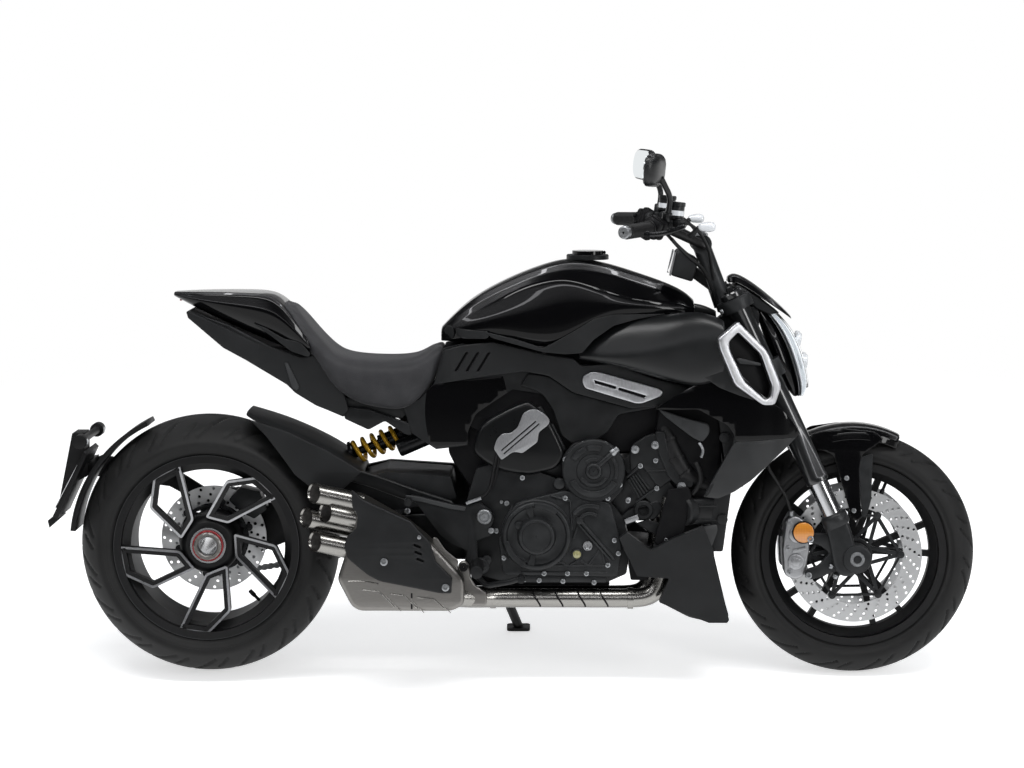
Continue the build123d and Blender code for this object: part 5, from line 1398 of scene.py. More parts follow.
# ---------------------------------------------------------------- exhaust
pipes = []
for out, start_out, front_x in ((118, 184, 1112), (66, 160, 1092)):
    pipes.append(tube([(600, -start_out, 214), (640, -(start_out + out) / 2 - 14, 206), (700, -out, 200),
        (760, -out, 200), (front_x - 90, -out, 200), (front_x - 30, -out, 200), (front_x + 2, -out, 226),
        (front_x + 12, -out, 290), (front_x + 26, -out, 450)], 23, 40, 4, 10))
# the header pipes wear the turned steel, its colour painted paler as painted light
place(join(pipes), "header_pipes", "chassis", "exhaust_steel", turned_steel_painted_paler, 60)
header_cover = cut_plate([(1096, 344), (1116, 324), (1166, 354), (1188, 461), (1178, 480), (1130, 472)],
    6, 140, 148, 2)
place(header_cover, "header_cover", "chassis", "shield_black", nylon)
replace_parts(bpy.data.objects["header_pipes"], "exhaust_pipes")
louvres = []
for k in range(4):
    trail = []
    for step in range(9):
        turn = radians(-52 + 13 * step)
        x = 811 + 55 * k + 9 * sin(turn * 1.7)
        trail.append((x, -118 - 22.6 * cos(turn), 200 - 22.6 * sin(turn)))
    louvres.append(tube(trail, 2.4, 8))
place(join(louvres), "pipe_louvres", "chassis", "shield_black", nylon, 60)
sleeve = [lathe([(-7, 22.5), (-7, 26), (7, 26), (7, 22.5)], (x, -118, 200), (1, 0, 0), 40)
    for x in (704, 1040)]
place(join(sleeve), "pipe_clamps", "chassis", "exhaust_steel", turned_steel_painted_paler)

body = cut_plate([(330, 262), (364, 197), (383, 185), (606, 185), (636, 200), (637, 262), (586, 321),
    (546, 361), (500, 399), (398, 457), (378, 464), (374, 400), (352, 330)], 12, 132, 226, 11, 4)
place(body, "silencer_body", "chassis", "exhaust_steel", stainless, 60)
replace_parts(body, "silencer")
pressings = []
for chevron in ([(391, 238), (431, 234), (468, 196)], [(458, 228), (492, 224), (524, 192)],
    [(523, 220), (563, 216), (588, 192)]):
    pressings.append(tube([(x, -226, z) for x, z in chevron], 1.8, 8, 2))
    pressings.append(tube([(x + 16, -226, z - 10) for x, z in chevron[1:]], 1.2, 8, 2))
pressings.append(tube([(356, -225, 258), (392, -226, 262), (430, -226, 252)], 1.6, 8))
place(join(pressings), "silencer_pressings", "chassis", "exhaust_steel", turned_steel_painted_paler, 60)
seams = [block((510, -226.6, 224), (4, 1.2, 12), 0.4), block((510, -226.6, 197), (4, 1.2, 12), 0.4)]
place(join(seams), "silencer_seams", "chassis", "shield_black", nylon)


def slash_tip(mouth, root, out, radius, wall, back):
    """A tail pipe whose mouth is cut aslant, facing back and out to the right."""
    start, end = side_at(root[0], out, root[1]), side_at(mouth[0], out, mouth[1])
    run = (end - start).normalized()
    end -= run * 10
    cut = (run * 0.82 - across_bike * 0.57).normalized()
    side = run.cross(across_bike).normalized()
    up = side.cross(run)
    corners = []
    count = 48
    for reach, slanted in ((radius, False), (radius, True), (radius - wall, True), (radius - wall, False)):
        for k in range(count):
            ray = (side * cos(2 * pi * k / count) + up * sin(2 * pi * k / count)) * reach
            if slanted:
                corners.append(end + ray - run * (ray.dot(cut) / run.dot(cut)) - run * back)
            else:
                corners.append(start + ray)
    return tidy_shell(from_corners(corners, ring_faces(4, count, True)))


tip_places = [((262, 470), (392, 442), 188), ((290, 424), (400, 400), 196), ((240, 405), (380, 374), 154),
    ((264, 352), (384, 327), 188)]
place(join([slash_tip(mouth, root, out, 25, 1.6, 0) for mouth, root, out in tip_places]),
      "tail_pipes", "chassis", "exhaust_steel", turned_steel_painted_paler, 50)
liners = [slash_tip(mouth, root, out, 23.2, 1.0, 5) for mouth, root, out in tip_places]
for mouth, root, out in tip_places:
    run = (side_at(mouth[0], out, mouth[1]) - side_at(root[0], out, root[1])).normalized()
    liners.append(bar(side_at(root[0], out, root[1]), side_at(root[0], out, root[1]) + run * 4, 24, 0.5))
place(join(liners), "tail_pipe_liners", "chassis", "shield_black", sooted_steel, 50)

shield_line = [(366, 484), (395, 458), (511, 405), (531, 380), (555, 356), (569, 308, 4), (608, 269, 4),
    (606, 231, 4), (579, 231), (511, 245), (434, 260), (405, 275), (356, 316), (348, 344), (354, 368),
    (378, 388), (381, 419), (368, 440)]
shield_slots = []
for x, z in ((524, 346), (526.5, 329), (531, 312)):
    shield_slots.append(rounded([(x - 10, z + 1), (x - 7, z + 6), (x + 9, z - 1), (x + 7, z - 6)], 2.5, 3))
shield = flat([rounded(shield_line, 8, 4)] + shield_slots, 226.3, 238, 4, 3)
place(shield, "silencer_shield_plate", "chassis", "shield_black", shield_paint, 50)
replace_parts(shield, "silencer_shield")
place(cut_plate([(508, 356), (538, 350), (550, 306), (520, 300)], 4, 227, 230, 0.6),
    "shield_slot_back", "chassis", "shield_black", nylon)
place(screws([side_at(444, 236, 308), side_at(592, 236, 246)], -across_bike, 9, 6),
    "shield_screws", "chassis", "axle_steel", zinc)
place(disc(529, 368, 234, 240, 5, 1, 24), "shield_small_screw", "chassis", "axle_steel", zinc)
heat_plate = cut_plate([
    (560, 362), (570, 362), (590, 332), (622, 306), (618, 264), (582, 270), (560, 290)], 6, 196, 202, 2)
ear = flat([rounded([(620, 276), (620, 292, 14), (634, 303, 14), (648, 292, 14), (650, 262), (662, 240),
    (690, 224), (690, 190), (606, 190), (606, 222), (619, 244)], 9, 4)], 160, 176, 5, 3)
bits = [tube([(572, -204, 318), (584, -206, 322), (592, -206, 308), (588, -205, 292)], 3, 10)]
place(join([heat_plate, ear] + bits), "silencer_brackets", "chassis", "exhaust_steel", stainless, 50)
ear_bolt = turned([(174, 1), (174, 11), (179, 11), (181, 9.5), (181, 6), (177, 5), (177, 1)], 634, 286, 24)
place(ear_bolt, "silencer_ear_bolt", "chassis", "matte_black", powder_coat)

# ---------------------------------------------------------------- foot rests and stand
heel_plate = polished("foot_rests_right", 2)
place(heel_plate, "rider_rest_right", "chassis", "matte_black", cast_black)
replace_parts(heel_plate, "foot_rests_right")
heel_trim = cut_plate([(492, 459), (528, 454), (606, 435), (640, 430), (636, 420), (604, 424), (526, 443),
    (494, 447)], 4, 150, 155, 1.5)
place(heel_trim, "heel_plate_flange", "chassis", "matte_black", pale_trim)
rest_hub = [disc(676, 286, 150, 162, 20, 3), disc(690, 300, 150, 160, 11, 2), disc(664, 268, 150, 160, 12, 2)]
for k in range(3):
    rest_hub.append(block((676, -163, 278 + 8 * k), (22, 3, 3), 0.8, Matrix.Rotation(radians(12), 4, "Y")))
place(join(rest_hub), "rest_hinge_right", "chassis", "caliper_silver", cast_grey)
right_ribs = [bar(side_at(668, 176 + 15 * k, 290), side_at(668, 183 + 15 * k, 290), 15.4, 1.5, 24)
    for k in range(7)]
place(join(right_ribs), "rest_rubbers_right", "chassis", "grip_rubber", soft_rubber)
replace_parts(place(polished("foot_rests_left", 2), "rider_rest_left", "chassis", "matte_black", cast_black),
    "foot_rests_left")
left_ribs = [bar(side_at(664, -(208 + 12 * k), 284), side_at(664, -(214 + 12 * k), 284), 15.4, 1.5, 24)
    for k in range(7)]
place(join(left_ribs), "rest_rubbers_left", "chassis", "grip_rubber", soft_rubber)
place(screws([side_at(497, 151, 446), side_at(497, 151, 420), side_at(700, 151, 372)], -across_bike, 7, 6),
      "heel_plate_screws", "chassis", "axle_steel", zinc)
place(screws([side_at(708, -207, 474), side_at(722, -207, 290)], across_bike, 7, 6),
    "left_plate_screws", "chassis", "axle_steel", zinc)
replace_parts(place(polished("side_stand", 2), "stand_leg", "side_stand", "stand_black", powder_coat),
    "side_stand")

# the rear caliper and the main frame, their edges rounded
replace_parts(place(polished("rear_caliper", 4), "rear_caliper_body", "chassis", "caliper_silver", cast_grey),
    "rear_caliper")
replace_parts(place(polished("main_frame", 3), "main_frame_castings", "chassis", "swingarm_black",
    cast_black), "main_frame")

# ---------------------------------------------------------------- fork legs and clamps
def on_leg(profile, steps=48):
    """A turned part on the right fork leg: points (height, radius)."""
    return lathe(profile, in_fork(leg_ahead, leg_out, 0), fork_up, steps)


def in_fork_view(points):
    """Points (ahead, up) of the fork as points of the side view."""
    return [(in_fork(ahead, 0, up).x, in_fork(ahead, 0, up).z, *cut) for ahead, up, *cut in points]


stanchion = bar(in_fork(leg_ahead, leg_out, 96), in_fork(leg_ahead, leg_out, 236), 24, 0, 64)
place(both_sides(stanchion), "fork_stanchions", "steering", "fork_chrome", plated_steel)
foot = flat([rounded(in_fork_view([
    (-7, 120), (47, 120), (44, 66), (33, 8), (24, -28), (0, -34), (-25, -24), (-32, 4), (-18, 60)]), 14, 5)],
    84, 126, 9, 3)
collar = on_leg([(92, 24.4), (92, 30), (96, 33), (118, 33), (124, 29), (126, 24.4)])
axle_boss = disc(wheelbase, front_axle.z, 80, 131, 35, 4)
lug = cut_plate([
    (1572, 356), (1492, 360), (1474, 352), (1474, 338), (1500, 332), (1528, 312), (1500, 280), (1470, 270),
    (1466, 250), (1482, 244), (1574, 276)], 8, 95, 108, 3)
place(both_sides(join([foot, collar, axle_boss, lug])),
    "fork_feet", "steering", "anodised_black", cast_grey, 40)
axle_end = lathe([(122, 8), (122, 19), (130, 19), (133, 17), (133, 10.5), (128, 8)],
    (wheelbase, 0, front_axle.z), -across_bike)
pinch = []
for up in (-22, 6):
    start = in_fork(-34, 94, up)
    pinch.append(bar(start, start + Vector((-8, 0, 2)), 6, 1, 16))
    start = in_fork(-34, 114, up)
    pinch.append(bar(start, start + Vector((-8, 0, 2)), 6, 1, 16))
lug_bolts = screws([(1480, -108, 346), (1476, -108, 256)], (0, -1, 0), 8, 7)
place(both_sides(join([axle_end, lug_bolts] + pinch)), "fork_axle_ends", "steering", "axle_steel", zinc)
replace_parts(bpy.data.objects["fork_stanchions"], "fork_sliders")

outer_tube = on_leg([
    (211, 24.4), (211, 28), (214, 30), (226, 30), (229, 28.4), (486, 28.4), (700, 28.4), (702, 29), (719, 29),
    (722, 27), (722, 16), (716, 14), (714, 24.4)], 64)
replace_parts(place(both_sides(outer_tube), "fork_outer_tubes", "steering", "anodised_black", fork_paint),
    "fork_tubes")
cap = on_leg([(715, 1), (715, 17), (724, 17), (726, 15), (726, 9), (733, 8.5), (734, 7), (734, 1)], 6)
place(both_sides(cap), "fork_caps", "steering", "axle_steel", anodised)

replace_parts(place(polished("fork_clamps", 3), "fork_clamp_castings", "steering", "anodised_black", cast_grey),
    "fork_clamps")
clamp_bolts = []
for up in (501, 521, 690):
    start = in_fork(-16, 128, up)
    clamp_bolts.append(bar(start, start - fork_ahead * 7, 6, 1, 16))
stem_nut = bar(in_fork(0, 0, 704), in_fork(0, 0, 716), 20, 2, 32)
riser_caps = screws([(1203, -84, 1086), (1221, -84, 1086), (1203, -36, 1086), (1221, -36, 1086)],
    (0, 0, 1), 5, 5)
place(join([both_sides(join(clamp_bolts + [riser_caps])), stem_nut]), "fork_clamp_bolts", "steering",
    "axle_steel", zinc)

# ---------------------------------------------------------------- calipers, hoses and mudguard
outer_half = flat([rounded([(1418, 254), (1413, 320), (1422, 394), (1450, 402), (1474, 382), (1480, 320),
    (1468, 252), (1444, 242)], 11, 4)], 69, 97, 6, 3)
inner_half = flat([rounded([(1418, 256), (1414, 320), (1424, 392), (1450, 398), (1470, 380), (1476, 320),
    (1464, 256), (1444, 246)], 11, 4)], 42, 60, 4, 3)
bridge = cut_plate([(1417, 262), (1413, 320), (1421, 388), (1425, 380), (1422, 320), (1424, 268)],
    2, 44, 94, 2)
pistons = []
for x, z in ((1448, 355), (1446, 288)):
    pistons.append(disc(x, z, 90, 102, 20, 3))
    pistons.append(disc(x, z, 90, 104.5, 11, 2))
rib = cut_plate([(1436, 318), (1470, 326), (1472, 318), (1438, 308)], 3, 92, 101, 2)
caliper_bodies = both_sides(join([outer_half, inner_half, bridge, rib] + pistons))
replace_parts(place(caliper_bodies, "front_caliper_bodies", "steering", "caliper_silver", satin_aluminium),
    "front_calipers")
caliper_screws = screws([(1430, -97, 384), (1426, -97, 322), (1430, -97, 262)], (0, -1, 0), 5.5, 5)
bleed = bar((1440, -84, 398), (1438, -84, 412), 3.5, 0.8, 12)
place(both_sides(join([caliper_screws, bleed])), "front_caliper_bolts", "steering", "axle_steel", zinc)
reflector_base = disc(1463, 362, 104, 109, 28, 1.5)
place(both_sides(reflector_base), "front_reflector_bases", "steering", "anodised_black", nylon)
reflector = disc(1463, 362, 108, 113, 25, 1.5)
place(both_sides(reflector), "front_reflectors", "steering", "anodised_black", amber_reflex)
fittings = [
    bar((1437, -83, 394), (1434, -86, 412), 6, 1, 16), bar((1396, -28, 712), (1396, -8, 716), 6, 1, 16),
    bar((1373, -84, 596), (1373, -84, 620), 6.5, 1, 16)]
place(both_sides(join(fittings)), "brake_hose_ends", "steering", "axle_steel", zinc)

guard_rings = []
for angle, crown, half in ((116, 318, 58), (110, 321, 68), (98, 324, 72), (86, 324, 72), (76, 320, 66),
    (69, 315, 50)):
    turn = radians(angle)
    section = [(0, crown), (0.5 * half, crown - 1), (0.82 * half, crown - 6), (half, crown - 17),
        (half + 3, crown - 34), (half - 1, crown - 34), (0.93 * half, crown - 20),
        (0.78 * half, crown - 11), (0.5 * half, crown - 6), (0, crown - 5)]
    right = [Vector((wheelbase + r * cos(turn), -out, front_axle.z + r * sin(turn))) for out, r in section]
    left = [Vector((p.x, -p.y, p.z)) for p in reversed(right[1:-1])]
    guard_rings.append(right + left)
guard = loft(guard_rings, 3, sharp=(3, 4, 5, 13, 14, 15), sharpness=0.6, sharp_ends=0.5)
place(guard, "front_mudguard_crown", "steering", "gloss_black", enamel, 60)
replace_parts(guard, "front_mudguard")
leg_out_at = [(380, 80), (460, 77), (560, 75), (600, 73)]
guard_leg = cut_plate([
    (1470, 560), (1476, 590), (1490, 604), (1560, 614), (1640, 606), (1660, 588), (1622, 560), (1607, 549),
    (1600, 510), (1604, 430), (1609, 392), (1587, 384), (1567, 450), (1537, 548), (1510, 560)], 9, -4, 0, 1.6)
bowed(guard_leg, lambda x, z: through(leg_out_at, z) - 0.0016 * max(0, z - 560) ** 2)
place(both_sides(guard_leg), "front_mudguard_legs", "steering", "gloss_black", enamel, 50)
guard_insert = cut_plate([(1604, 543), (1634, 552), (1632, 480), (1631, 440), (1621, 401), (1609, 396),
    (1604, 450), (1600, 510)], 5, -4, -1, 1)
bowed(guard_insert, lambda x, z: through(leg_out_at, z))
place(both_sides(guard_insert), "front_mudguard_inserts", "steering", "matte_black", cast_grey)
guard_bolts = screws([(1570, -74.5, 492), (1588, -78, 412)], (0, -1, 0), 6, 4)
place(both_sides(guard_bolts), "front_mudguard_bolts", "steering", "axle_steel", zinc)

# ---------------------------------------------------------------- headlight, flyscreen and dash
lamp_stations = [
    (917, 1346, 1356, 1366, 50), (892, 1350, 1380, 1404, 70), (860, 1360, 1404, 1434, 80),
    (820, 1374, 1424, 1456, 87), (780, 1388, 1438, 1469, 87), (740, 1404, 1450, 1479, 80),
    (710, 1424, 1456, 1480, 68), (690, 1440, 1456, 1467, 52)]


def lamp_ring(z, back, front, half, crown):
    """One level of the headlight: straight at the back, rounded at the front."""
    side = [(back, half * 0.96), (back + 0.4 * (front - back), half), (front - crown, half * 0.86),
            (front - 0.4 * crown, half * 0.6), (front, half * 0.28)]
    right = [Vector((x, -out, z)) for x, out in side]
    return right + [Vector((p.x, -p.y, p.z)) for p in reversed(right)]


housing = loft([lamp_ring(z, back, mid, half, 8) for z, back, mid, front, half in lamp_stations],
    2, sharp_ends=0.6)
place(housing, "headlight_housing", "steering", "lamp_housing", enamel, 60)
bezel = loft([lamp_ring(z, mid - 5, mid + 3, half * 0.98, 5)
    for z, back, mid, front, half in lamp_stations], 2, sharp_ends=0.6)
place(bezel, "headlight_bezel", "steering", "lamp_housing", ring_silver, 60)
crescent = loft([lamp_ring(z, front - 0.45 * (front - mid), front, half * 0.9, 10)
    for z, back, mid, front, half in lamp_stations], 2, sharp_ends=0.6)
place(crescent, "headlight_light_ring", "steering", "lamp_housing", opal, 60)
lens = loft([lamp_ring(z, mid + 1, front - 0.4 * (front - mid), half * 0.93, 8)
    for z, back, mid, front, half in lamp_stations], 2, sharp_ends=0.6)
place(lens, "headlight_lens", "steering", "lamp_housing", clear_lens, 60)
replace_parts(lens, "headlight")
# the dark face inside the light ring, and the two beam lenses in it
lamp_face = loft([lamp_ring(z, front - 9, front + 0.7, half * 0.7, 8)
    for z, back, mid, front, half in lamp_stations[1:7]], 2, sharp_ends=0.6)
place(lamp_face, "headlight_dark_face", "steering", "lamp_housing", enamel, 60)
beams = [bar((1446, side * 27, z + 2), (front, side * 27, z), 19, 4, 40) for side in (-1, 1)
         for z, front in ((826, 1459), (774, 1475))]
place(join(beams), "headlight_beam_lenses", "steering", "lamp_housing", clear_lens, 60)
lamp_bracket = cut_plate([
    (1318, 906), (1346, 916), (1356, 890), (1352, 850), (1376, 800), (1402, 748), (1384, 716), (1362, 700),
    (1346, 740), (1336, 800), (1322, 860)], 8, 52, 60, 2.5)
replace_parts(place(both_sides(lamp_bracket), "headlight_side_plates", "steering", "lamp_housing", abs_satin),
    "headlight_bracket")

screen_rings = []
for x, z, half, deep in (
    (1278, 982, 34, 14), (1292, 992, 50, 22), (1316, 984, 64, 25), (1350, 962, 75, 24), (1390, 930, 78, 18),
    (1420, 902, 70, 11), (1434, 886, 50, 6),
):
    screen_rings.append(mirrored_ring(x, [
        (0, z), (0.5 * half, z - 0.04 * deep), (0.8 * half, z - 0.28 * deep), (half, z - 0.88 * deep),
        (half - 2, z - deep), (0.78 * half, z - 0.48 * deep), (0.5 * half, z - 0.24 * deep),
        (0, z - 0.2 * deep)]))
screen = loft(screen_rings, 3, sharp=(2, 3, 4, 10, 11, 12), sharpness=0.6, sharp_ends=0.4)
place(screen, "flyscreen_shell", "steering", "gloss_black", enamel, 60)
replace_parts(screen, "flyscreen")
screen_under = cut_plate([(1300, 966), (1352, 936), (1404, 896), (1376, 892), (1346, 906), (1316, 934),
    (1290, 958)], 6, -66, 66, 5)
place(screen_under, "flyscreen_liner", "steering", "lamp_housing", abs_matte)

dash_body = cut_plate([(1137, 988), (1150, 1042), (1160, 1050), (1206, 1026), (1190, 972)], 7, -67, 67, 5)
dash_arm = cut_plate([(1184, 985), (1198, 1008), (1300, 942), (1280, 915)], 6, -20, 20, 4)
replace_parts(place(join([dash_body, dash_arm]), "dash_body", "steering", "lamp_housing", abs_matte), "dash")
dash_screen = cut_plate([(1134, 992), (1147, 1043), (1150, 1042), (1138, 991)], 0.5, -59, 59, 0.8)
place(dash_screen, "dash_screen", "steering", "lamp_housing", dash_glass)
dash_rim = cut_plate([(1133, 988), (1146, 1046), (1150, 1045), (1138, 987)], 0.5, -66, -60, 0.8)
place(both_sides(dash_rim), "dash_rims", "steering", "lamp_housing", satin_aluminium)

# ---------------------------------------------------------------- handlebar, controls and mirrors
bar_tip = Vector((1019, -400, 1108))
bar_inward = Vector((60, 112, 4)).normalized()


def on_bar(profile):
    """A turned part on the right-hand grip: points (distance from the tip, radius)."""
    return lathe(profile, bar_tip, bar_inward, 40)


grip_profile = [(0, 11.4), (0, 15), (2, 17.2)]
for k in range(16):
    start = 8 + 6.4 * k
    grip_profile += [(start, 17.2), (start + 1, 15.9), (start + 3.4, 15.9), (start + 4.4, 17.2)]
grip_profile += [(112, 17.2), (113, 20), (117, 20), (118, 18), (118, 11.4)]
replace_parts(place(both_sides(on_bar(grip_profile)), "hand_grips", "steering", "grip_rubber", soft_rubber),
    "hand_controls")
bar_end = on_bar([(-14, 3), (-14, 12), (-12, 15), (-3, 16), (-0.5, 14), (-0.5, 3)])
place(both_sides(bar_end), "bar_end_weights", "steering", "anodised_black", zinc)
switch_turn = turned_to(bar_inward)
switchgear = []
for along, length, width in ((134, 26, 44), (160, 24, 48)):
    spot = bar_tip + bar_inward * along
    switchgear.append(block(spot, (width, width, length), 7, switch_turn))
pod = bar_tip + bar_inward * 140
switchgear.append(block(pod + Vector((-14, 4, -12)), (24, 30, 26), 5, switch_turn))
switchgear.append(bar(pod + Vector((-22, 0, 8)), pod + Vector((-30, -2, 9)), 6, 1.5, 20))
switchgear.append(bar(pod + Vector((-22, 16, -8)), pod + Vector((-29, 14, -8)), 5, 1.5, 20))
place(both_sides(join(switchgear)), "switch_housings", "steering", "matte_black", nylon)
perch = bar_tip + bar_inward * 172 + Vector((34, 0, 8))
clamp_ring = on_bar([(166, 11.4), (166, 18), (168, 20), (182, 20), (184, 18), (184, 11.4)])
master = bar(perch + Vector((-6, 34, 2)), perch + Vector((20, -34, 2)), 11, 2, 28)
arm_to_bar = block(perch + Vector((-14, 0, 0)), (34, 22, 22), 5, Matrix.Rotation(-0.3, 4, "Z"))
place(both_sides(join([clamp_ring, master, arm_to_bar])), "lever_perches", "steering",
    "anodised_black", cast_black)
lever_root = perch + Vector((22, -24, -2))
lever = tube([
    lever_root, lever_root + Vector((6, -30, -2)), bar_tip + bar_inward * 80 + Vector((62, 0, -6)),
    bar_tip + bar_inward * 30 + Vector((54, 0, -8)), bar_tip + Vector((50, 4, -6))], 6.5, 16, 3, 8)
lever_ball = bar(bar_tip + Vector((50, 2, -6)), bar_tip + Vector((50, 14, -6)), 8.5, 4, 24)
place(both_sides(join([lever, lever_ball])), "hand_levers", "steering", "anodised_black", anodised)
cup = lathe([(0, 1), (0, 18), (3, 21), (30, 21), (31, 22.5), (38, 22.5), (40, 20), (40, 1)],
    perch + Vector((4, 6, 12)), (0.1, 0, 1), 40)
place(both_sides(cup), "fluid_reservoirs", "steering", "matte_black", abs_satin)
cup_window = lathe([(8, 1), (8, 21.6), (20, 21.6), (20, 1)], perch + Vector((4, 6, 12)), (0.1, 0, 1), 40)
place(both_sides(cup_window), "fluid_windows", "steering", "matte_black", clear_lens)
turn_lamp = loft([[Vector((x, -250 - out, z)) for out, z in ring] for x, ring in (
    (1192, [(-8, 1106), (8, 1106), (8, 1122), (-8, 1122)]),
    (1206, [(-10, 1102), (12, 1102), (12, 1126), (-10, 1126)]),
    (1226, [(-10, 1100), (14, 1100), (14, 1128), (-10, 1128)]),
    (1236, [(-6, 1106), (8, 1106), (8, 1122), (-6, 1122)]),
)], 2)
place(both_sides(turn_lamp), "front_indicators", "steering", "lamp_housing", clear_lens, 60)
lamp_stalk = bar((1196, -240, 1112), (1176, -214, 1090), 6, 1, 16)
place(both_sides(lamp_stalk), "front_indicator_stalks", "steering", "matte_black", abs_matte)
cable_one = tube([(1150, -246, 1128), (1186, -200, 1120), (1226, -130, 1060), (1236, -80, 1000),
    (1250, -60, 930)], 4, 12)
cable_two = tube([(1130, -262, 1086), (1170, -190, 1040), (1214, -110, 1010), (1240, -84, 950),
    (1256, -70, 900)], 4.5, 12)
place(both_sides(join([cable_one, cable_two])), "bar_cables", "steering", "hose_black", soft_rubber)

mirror_turn = (Matrix.Translation((1092, -330, 1247)) @ Matrix.Rotation(radians(-16), 4, "Z")
    @ Matrix.Rotation(radians(8), 4, "Y"))
mirror_face = [(-70, -26), (-62, 30), (-48, 40), (40, 42), (66, 34), (74, 14), (70, -14),
    (48, -36), (-40, -40)]


def mirror_ring(ahead, scale):
    """One section of the mirror housing, from the glass forwards."""
    return [mirror_turn @ Vector((ahead, -out * scale, up * scale))
        for out, up in rounded(mirror_face, 14, 3)]


shell = loft([mirror_ring(-16, 0.97), mirror_ring(-14, 1.0), mirror_ring(-4, 1.0), mirror_ring(8, 0.8),
    mirror_ring(14, 0.45)], 1)
stem = tube([(1120, -258, 1140), (1126, -272, 1168), (1124, -292, 1190), (1112, -310, 1212),
    (1102, -322, 1232)], 7, 16)
stem_foot = bar((1118, -254, 1128), (1121, -260, 1150), 12, 3, 24)
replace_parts(place(both_sides(join([shell, stem, stem_foot])), "mirror_housings", "steering", "matte_black",
    abs_satin, 45), "mirrors")
glass = loft([mirror_ring(-17.5, 0.9), mirror_ring(-15.5, 0.91)], 0)
place(both_sides(glass), "mirror_glasses", "steering", "matte_black", silvered)

# ---------------------------------------------------------------- rear suspension
shock_low, shock_high = Vector((330, 0, 532)), Vector((556, 0, 622))
shock_run = (shock_high - shock_low).normalized()
shock_side = across_bike
shock_top = shock_run.cross(shock_side)
coil_turns, coil_steps, coil_radius = 5, 14, 26
coil_start, coil_length = 30, 124         # from the lower eye, along the shock
coil_points = []
for k in range(coil_turns * coil_steps + 1):
    turn = 2 * pi * k / coil_steps
    along = coil_start + coil_length * k / (coil_turns * coil_steps)
    around = (shock_side * cos(turn) + shock_top * sin(turn)) * coil_radius
    coil_points.append(shock_low + shock_run * along + around)
coil = tube(coil_points, 5.6, 16, 4, 2)
place(coil, "shock_spring", "chassis", "spring_gold", spring_gold, 60)
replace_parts(coil, "rear_shock")
damper = lathe([(-4, 1), (-4, 15), (18, 17), (22, 31), (29, 31), (30, 15), (40, 10), (96, 10), (98, 19),
    (152, 20), (154, 31), (162, 32), (168, 31), (170, 22), (226, 22), (232, 16), (246, 16), (246, 1)],
    shock_low, shock_run, 40)
eyes = [bar(end - Vector((0, 17, 0)), end + Vector((0, 17, 0)), 17, 2) for end in (shock_low, shock_high)]
can = lathe([(0, 1), (0, 18), (3, 21), (96, 21), (99, 18), (99, 1)], (470, -58, 560), (0.92, 0, 0.4), 40)
place(join([damper, can] + eyes), "shock_damper", "chassis", "swingarm_black", anodised, 40)

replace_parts(place(polished("swingarm", 5), "swingarm_casting", "chassis", "swingarm_black", cast_black),
    "swingarm")
pivot_cap = lathe([
    (156, 1), (156, 18), (168, 18), (170, 16), (170, 12.5), (168, 11), (168, 9), (170.5, 8), (170.5, 1)],
    (684, 0, 407), -across_bike, 48)
arm_rib = cut_plate([(330, 532), (420, 504), (520, 468), (608, 440), (612, 416), (560, 424), (480, 446),
    (400, 476), (336, 494)], 8, 118, 130, 5, 3)
link_box = cut_plate([(476, 330), (476, 404), (560, 404), (640, 340), (640, 290), (560, 290)], 8, -40, 90, 6)
place(join([arm_rib, link_box]), "swingarm_right_rib", "chassis", "swingarm_black", satin_paint)
place(pivot_cap, "swingarm_pivot_nut", "chassis", "axle_steel", zinc)

# ---------------------------------------------------------------- mudguards, plate and lamps
hugger_rings = []
for x, z, half, deep in (
    (100, 654, 90, 8), (124, 646, 112, 14), (200, 622, 130, 24), (300, 576, 132, 30), (350, 543, 128, 30),
    (388, 516, 112, 30),
):
    hugger_rings.append(mirrored_ring(x, [(0, z + 1), (0.6 * half, z), (0.88 * half, z - 0.13 * deep),
        (half, z - 0.5 * deep), (half, z - deep), (half - 4, z - deep), (0.84 * half, z - 0.4 * deep),
        (0.6 * half, z - 0.23 * deep), (0, z - 0.2 * deep)]))
hugger = loft(hugger_rings, 2, sharp=(3, 4, 5, 11, 12, 13), sharpness=0.6, sharp_ends=0.6)
place(hugger, "rear_hugger_crown", "chassis", "matte_black", abs_matte, 50)
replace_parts(hugger, "rear_hugger")
hugger_side = cut_plate([(112, 640), (200, 612), (300, 564), (350, 534), (386, 512), (338, 470), (300, 440),
    (250, 482), (222, 504), (188, 552), (150, 602)], 8, 126.5, 133, 2.5)
place(both_sides(hugger_side), "rear_hugger_sides", "chassis", "matte_black", abs_matte)
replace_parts(place(polished("plate_carrier", 1.6), "plate_carrier_frame", "chassis", "matte_black",
    powder_coat), "plate_carrier")
tilt = Matrix.Rotation(radians(28), 4, "Y")
blank = block((-344, 0, 470), (2.4, 178, 120), 1, tilt)
place(blank, "blank_plate", "chassis", "axle_steel", abs_pale)
backing = block((-341, 0, 471.5), (3, 182, 124), 1, tilt)
place(backing, "plate_backing", "chassis", "matte_black", abs_matte)
turn_lamps = loft([[Vector((x, -130 - out, z)) for out, z in ring] for x, ring in (
    (-318, [(-10, 578), (12, 578), (12, 592), (-10, 592)]),
    (-308, [(-14, 572), (18, 572), (18, 598), (-14, 598)]),
    (-290, [(-14, 574), (18, 574), (18, 597), (-14, 597)]),
    (-280, [(-8, 580), (10, 580), (10, 592), (-8, 592)]),
)], 2)
place(both_sides(turn_lamps), "rear_indicators", "chassis", "lamp_housing", clear_lens, 60)
red_plate = cut_plate([(-400, 376), (-374, 394), (-368, 386), (-396, 362)], 3, -28, 28, 2)
place(red_plate, "rear_reflector", "chassis", "lamp_housing", red_reflex)
tail_lamps = []
for row in range(2):
    for k in range(-3, 4):
        tail_lamps.append(block((-78 + 12 * row, 7 * k, 938 - 14 * row), (5, 5, 4), 1))
place(join(tail_lamps), "tail_lamp_dots", "chassis", "lamp_housing", red_reflex)

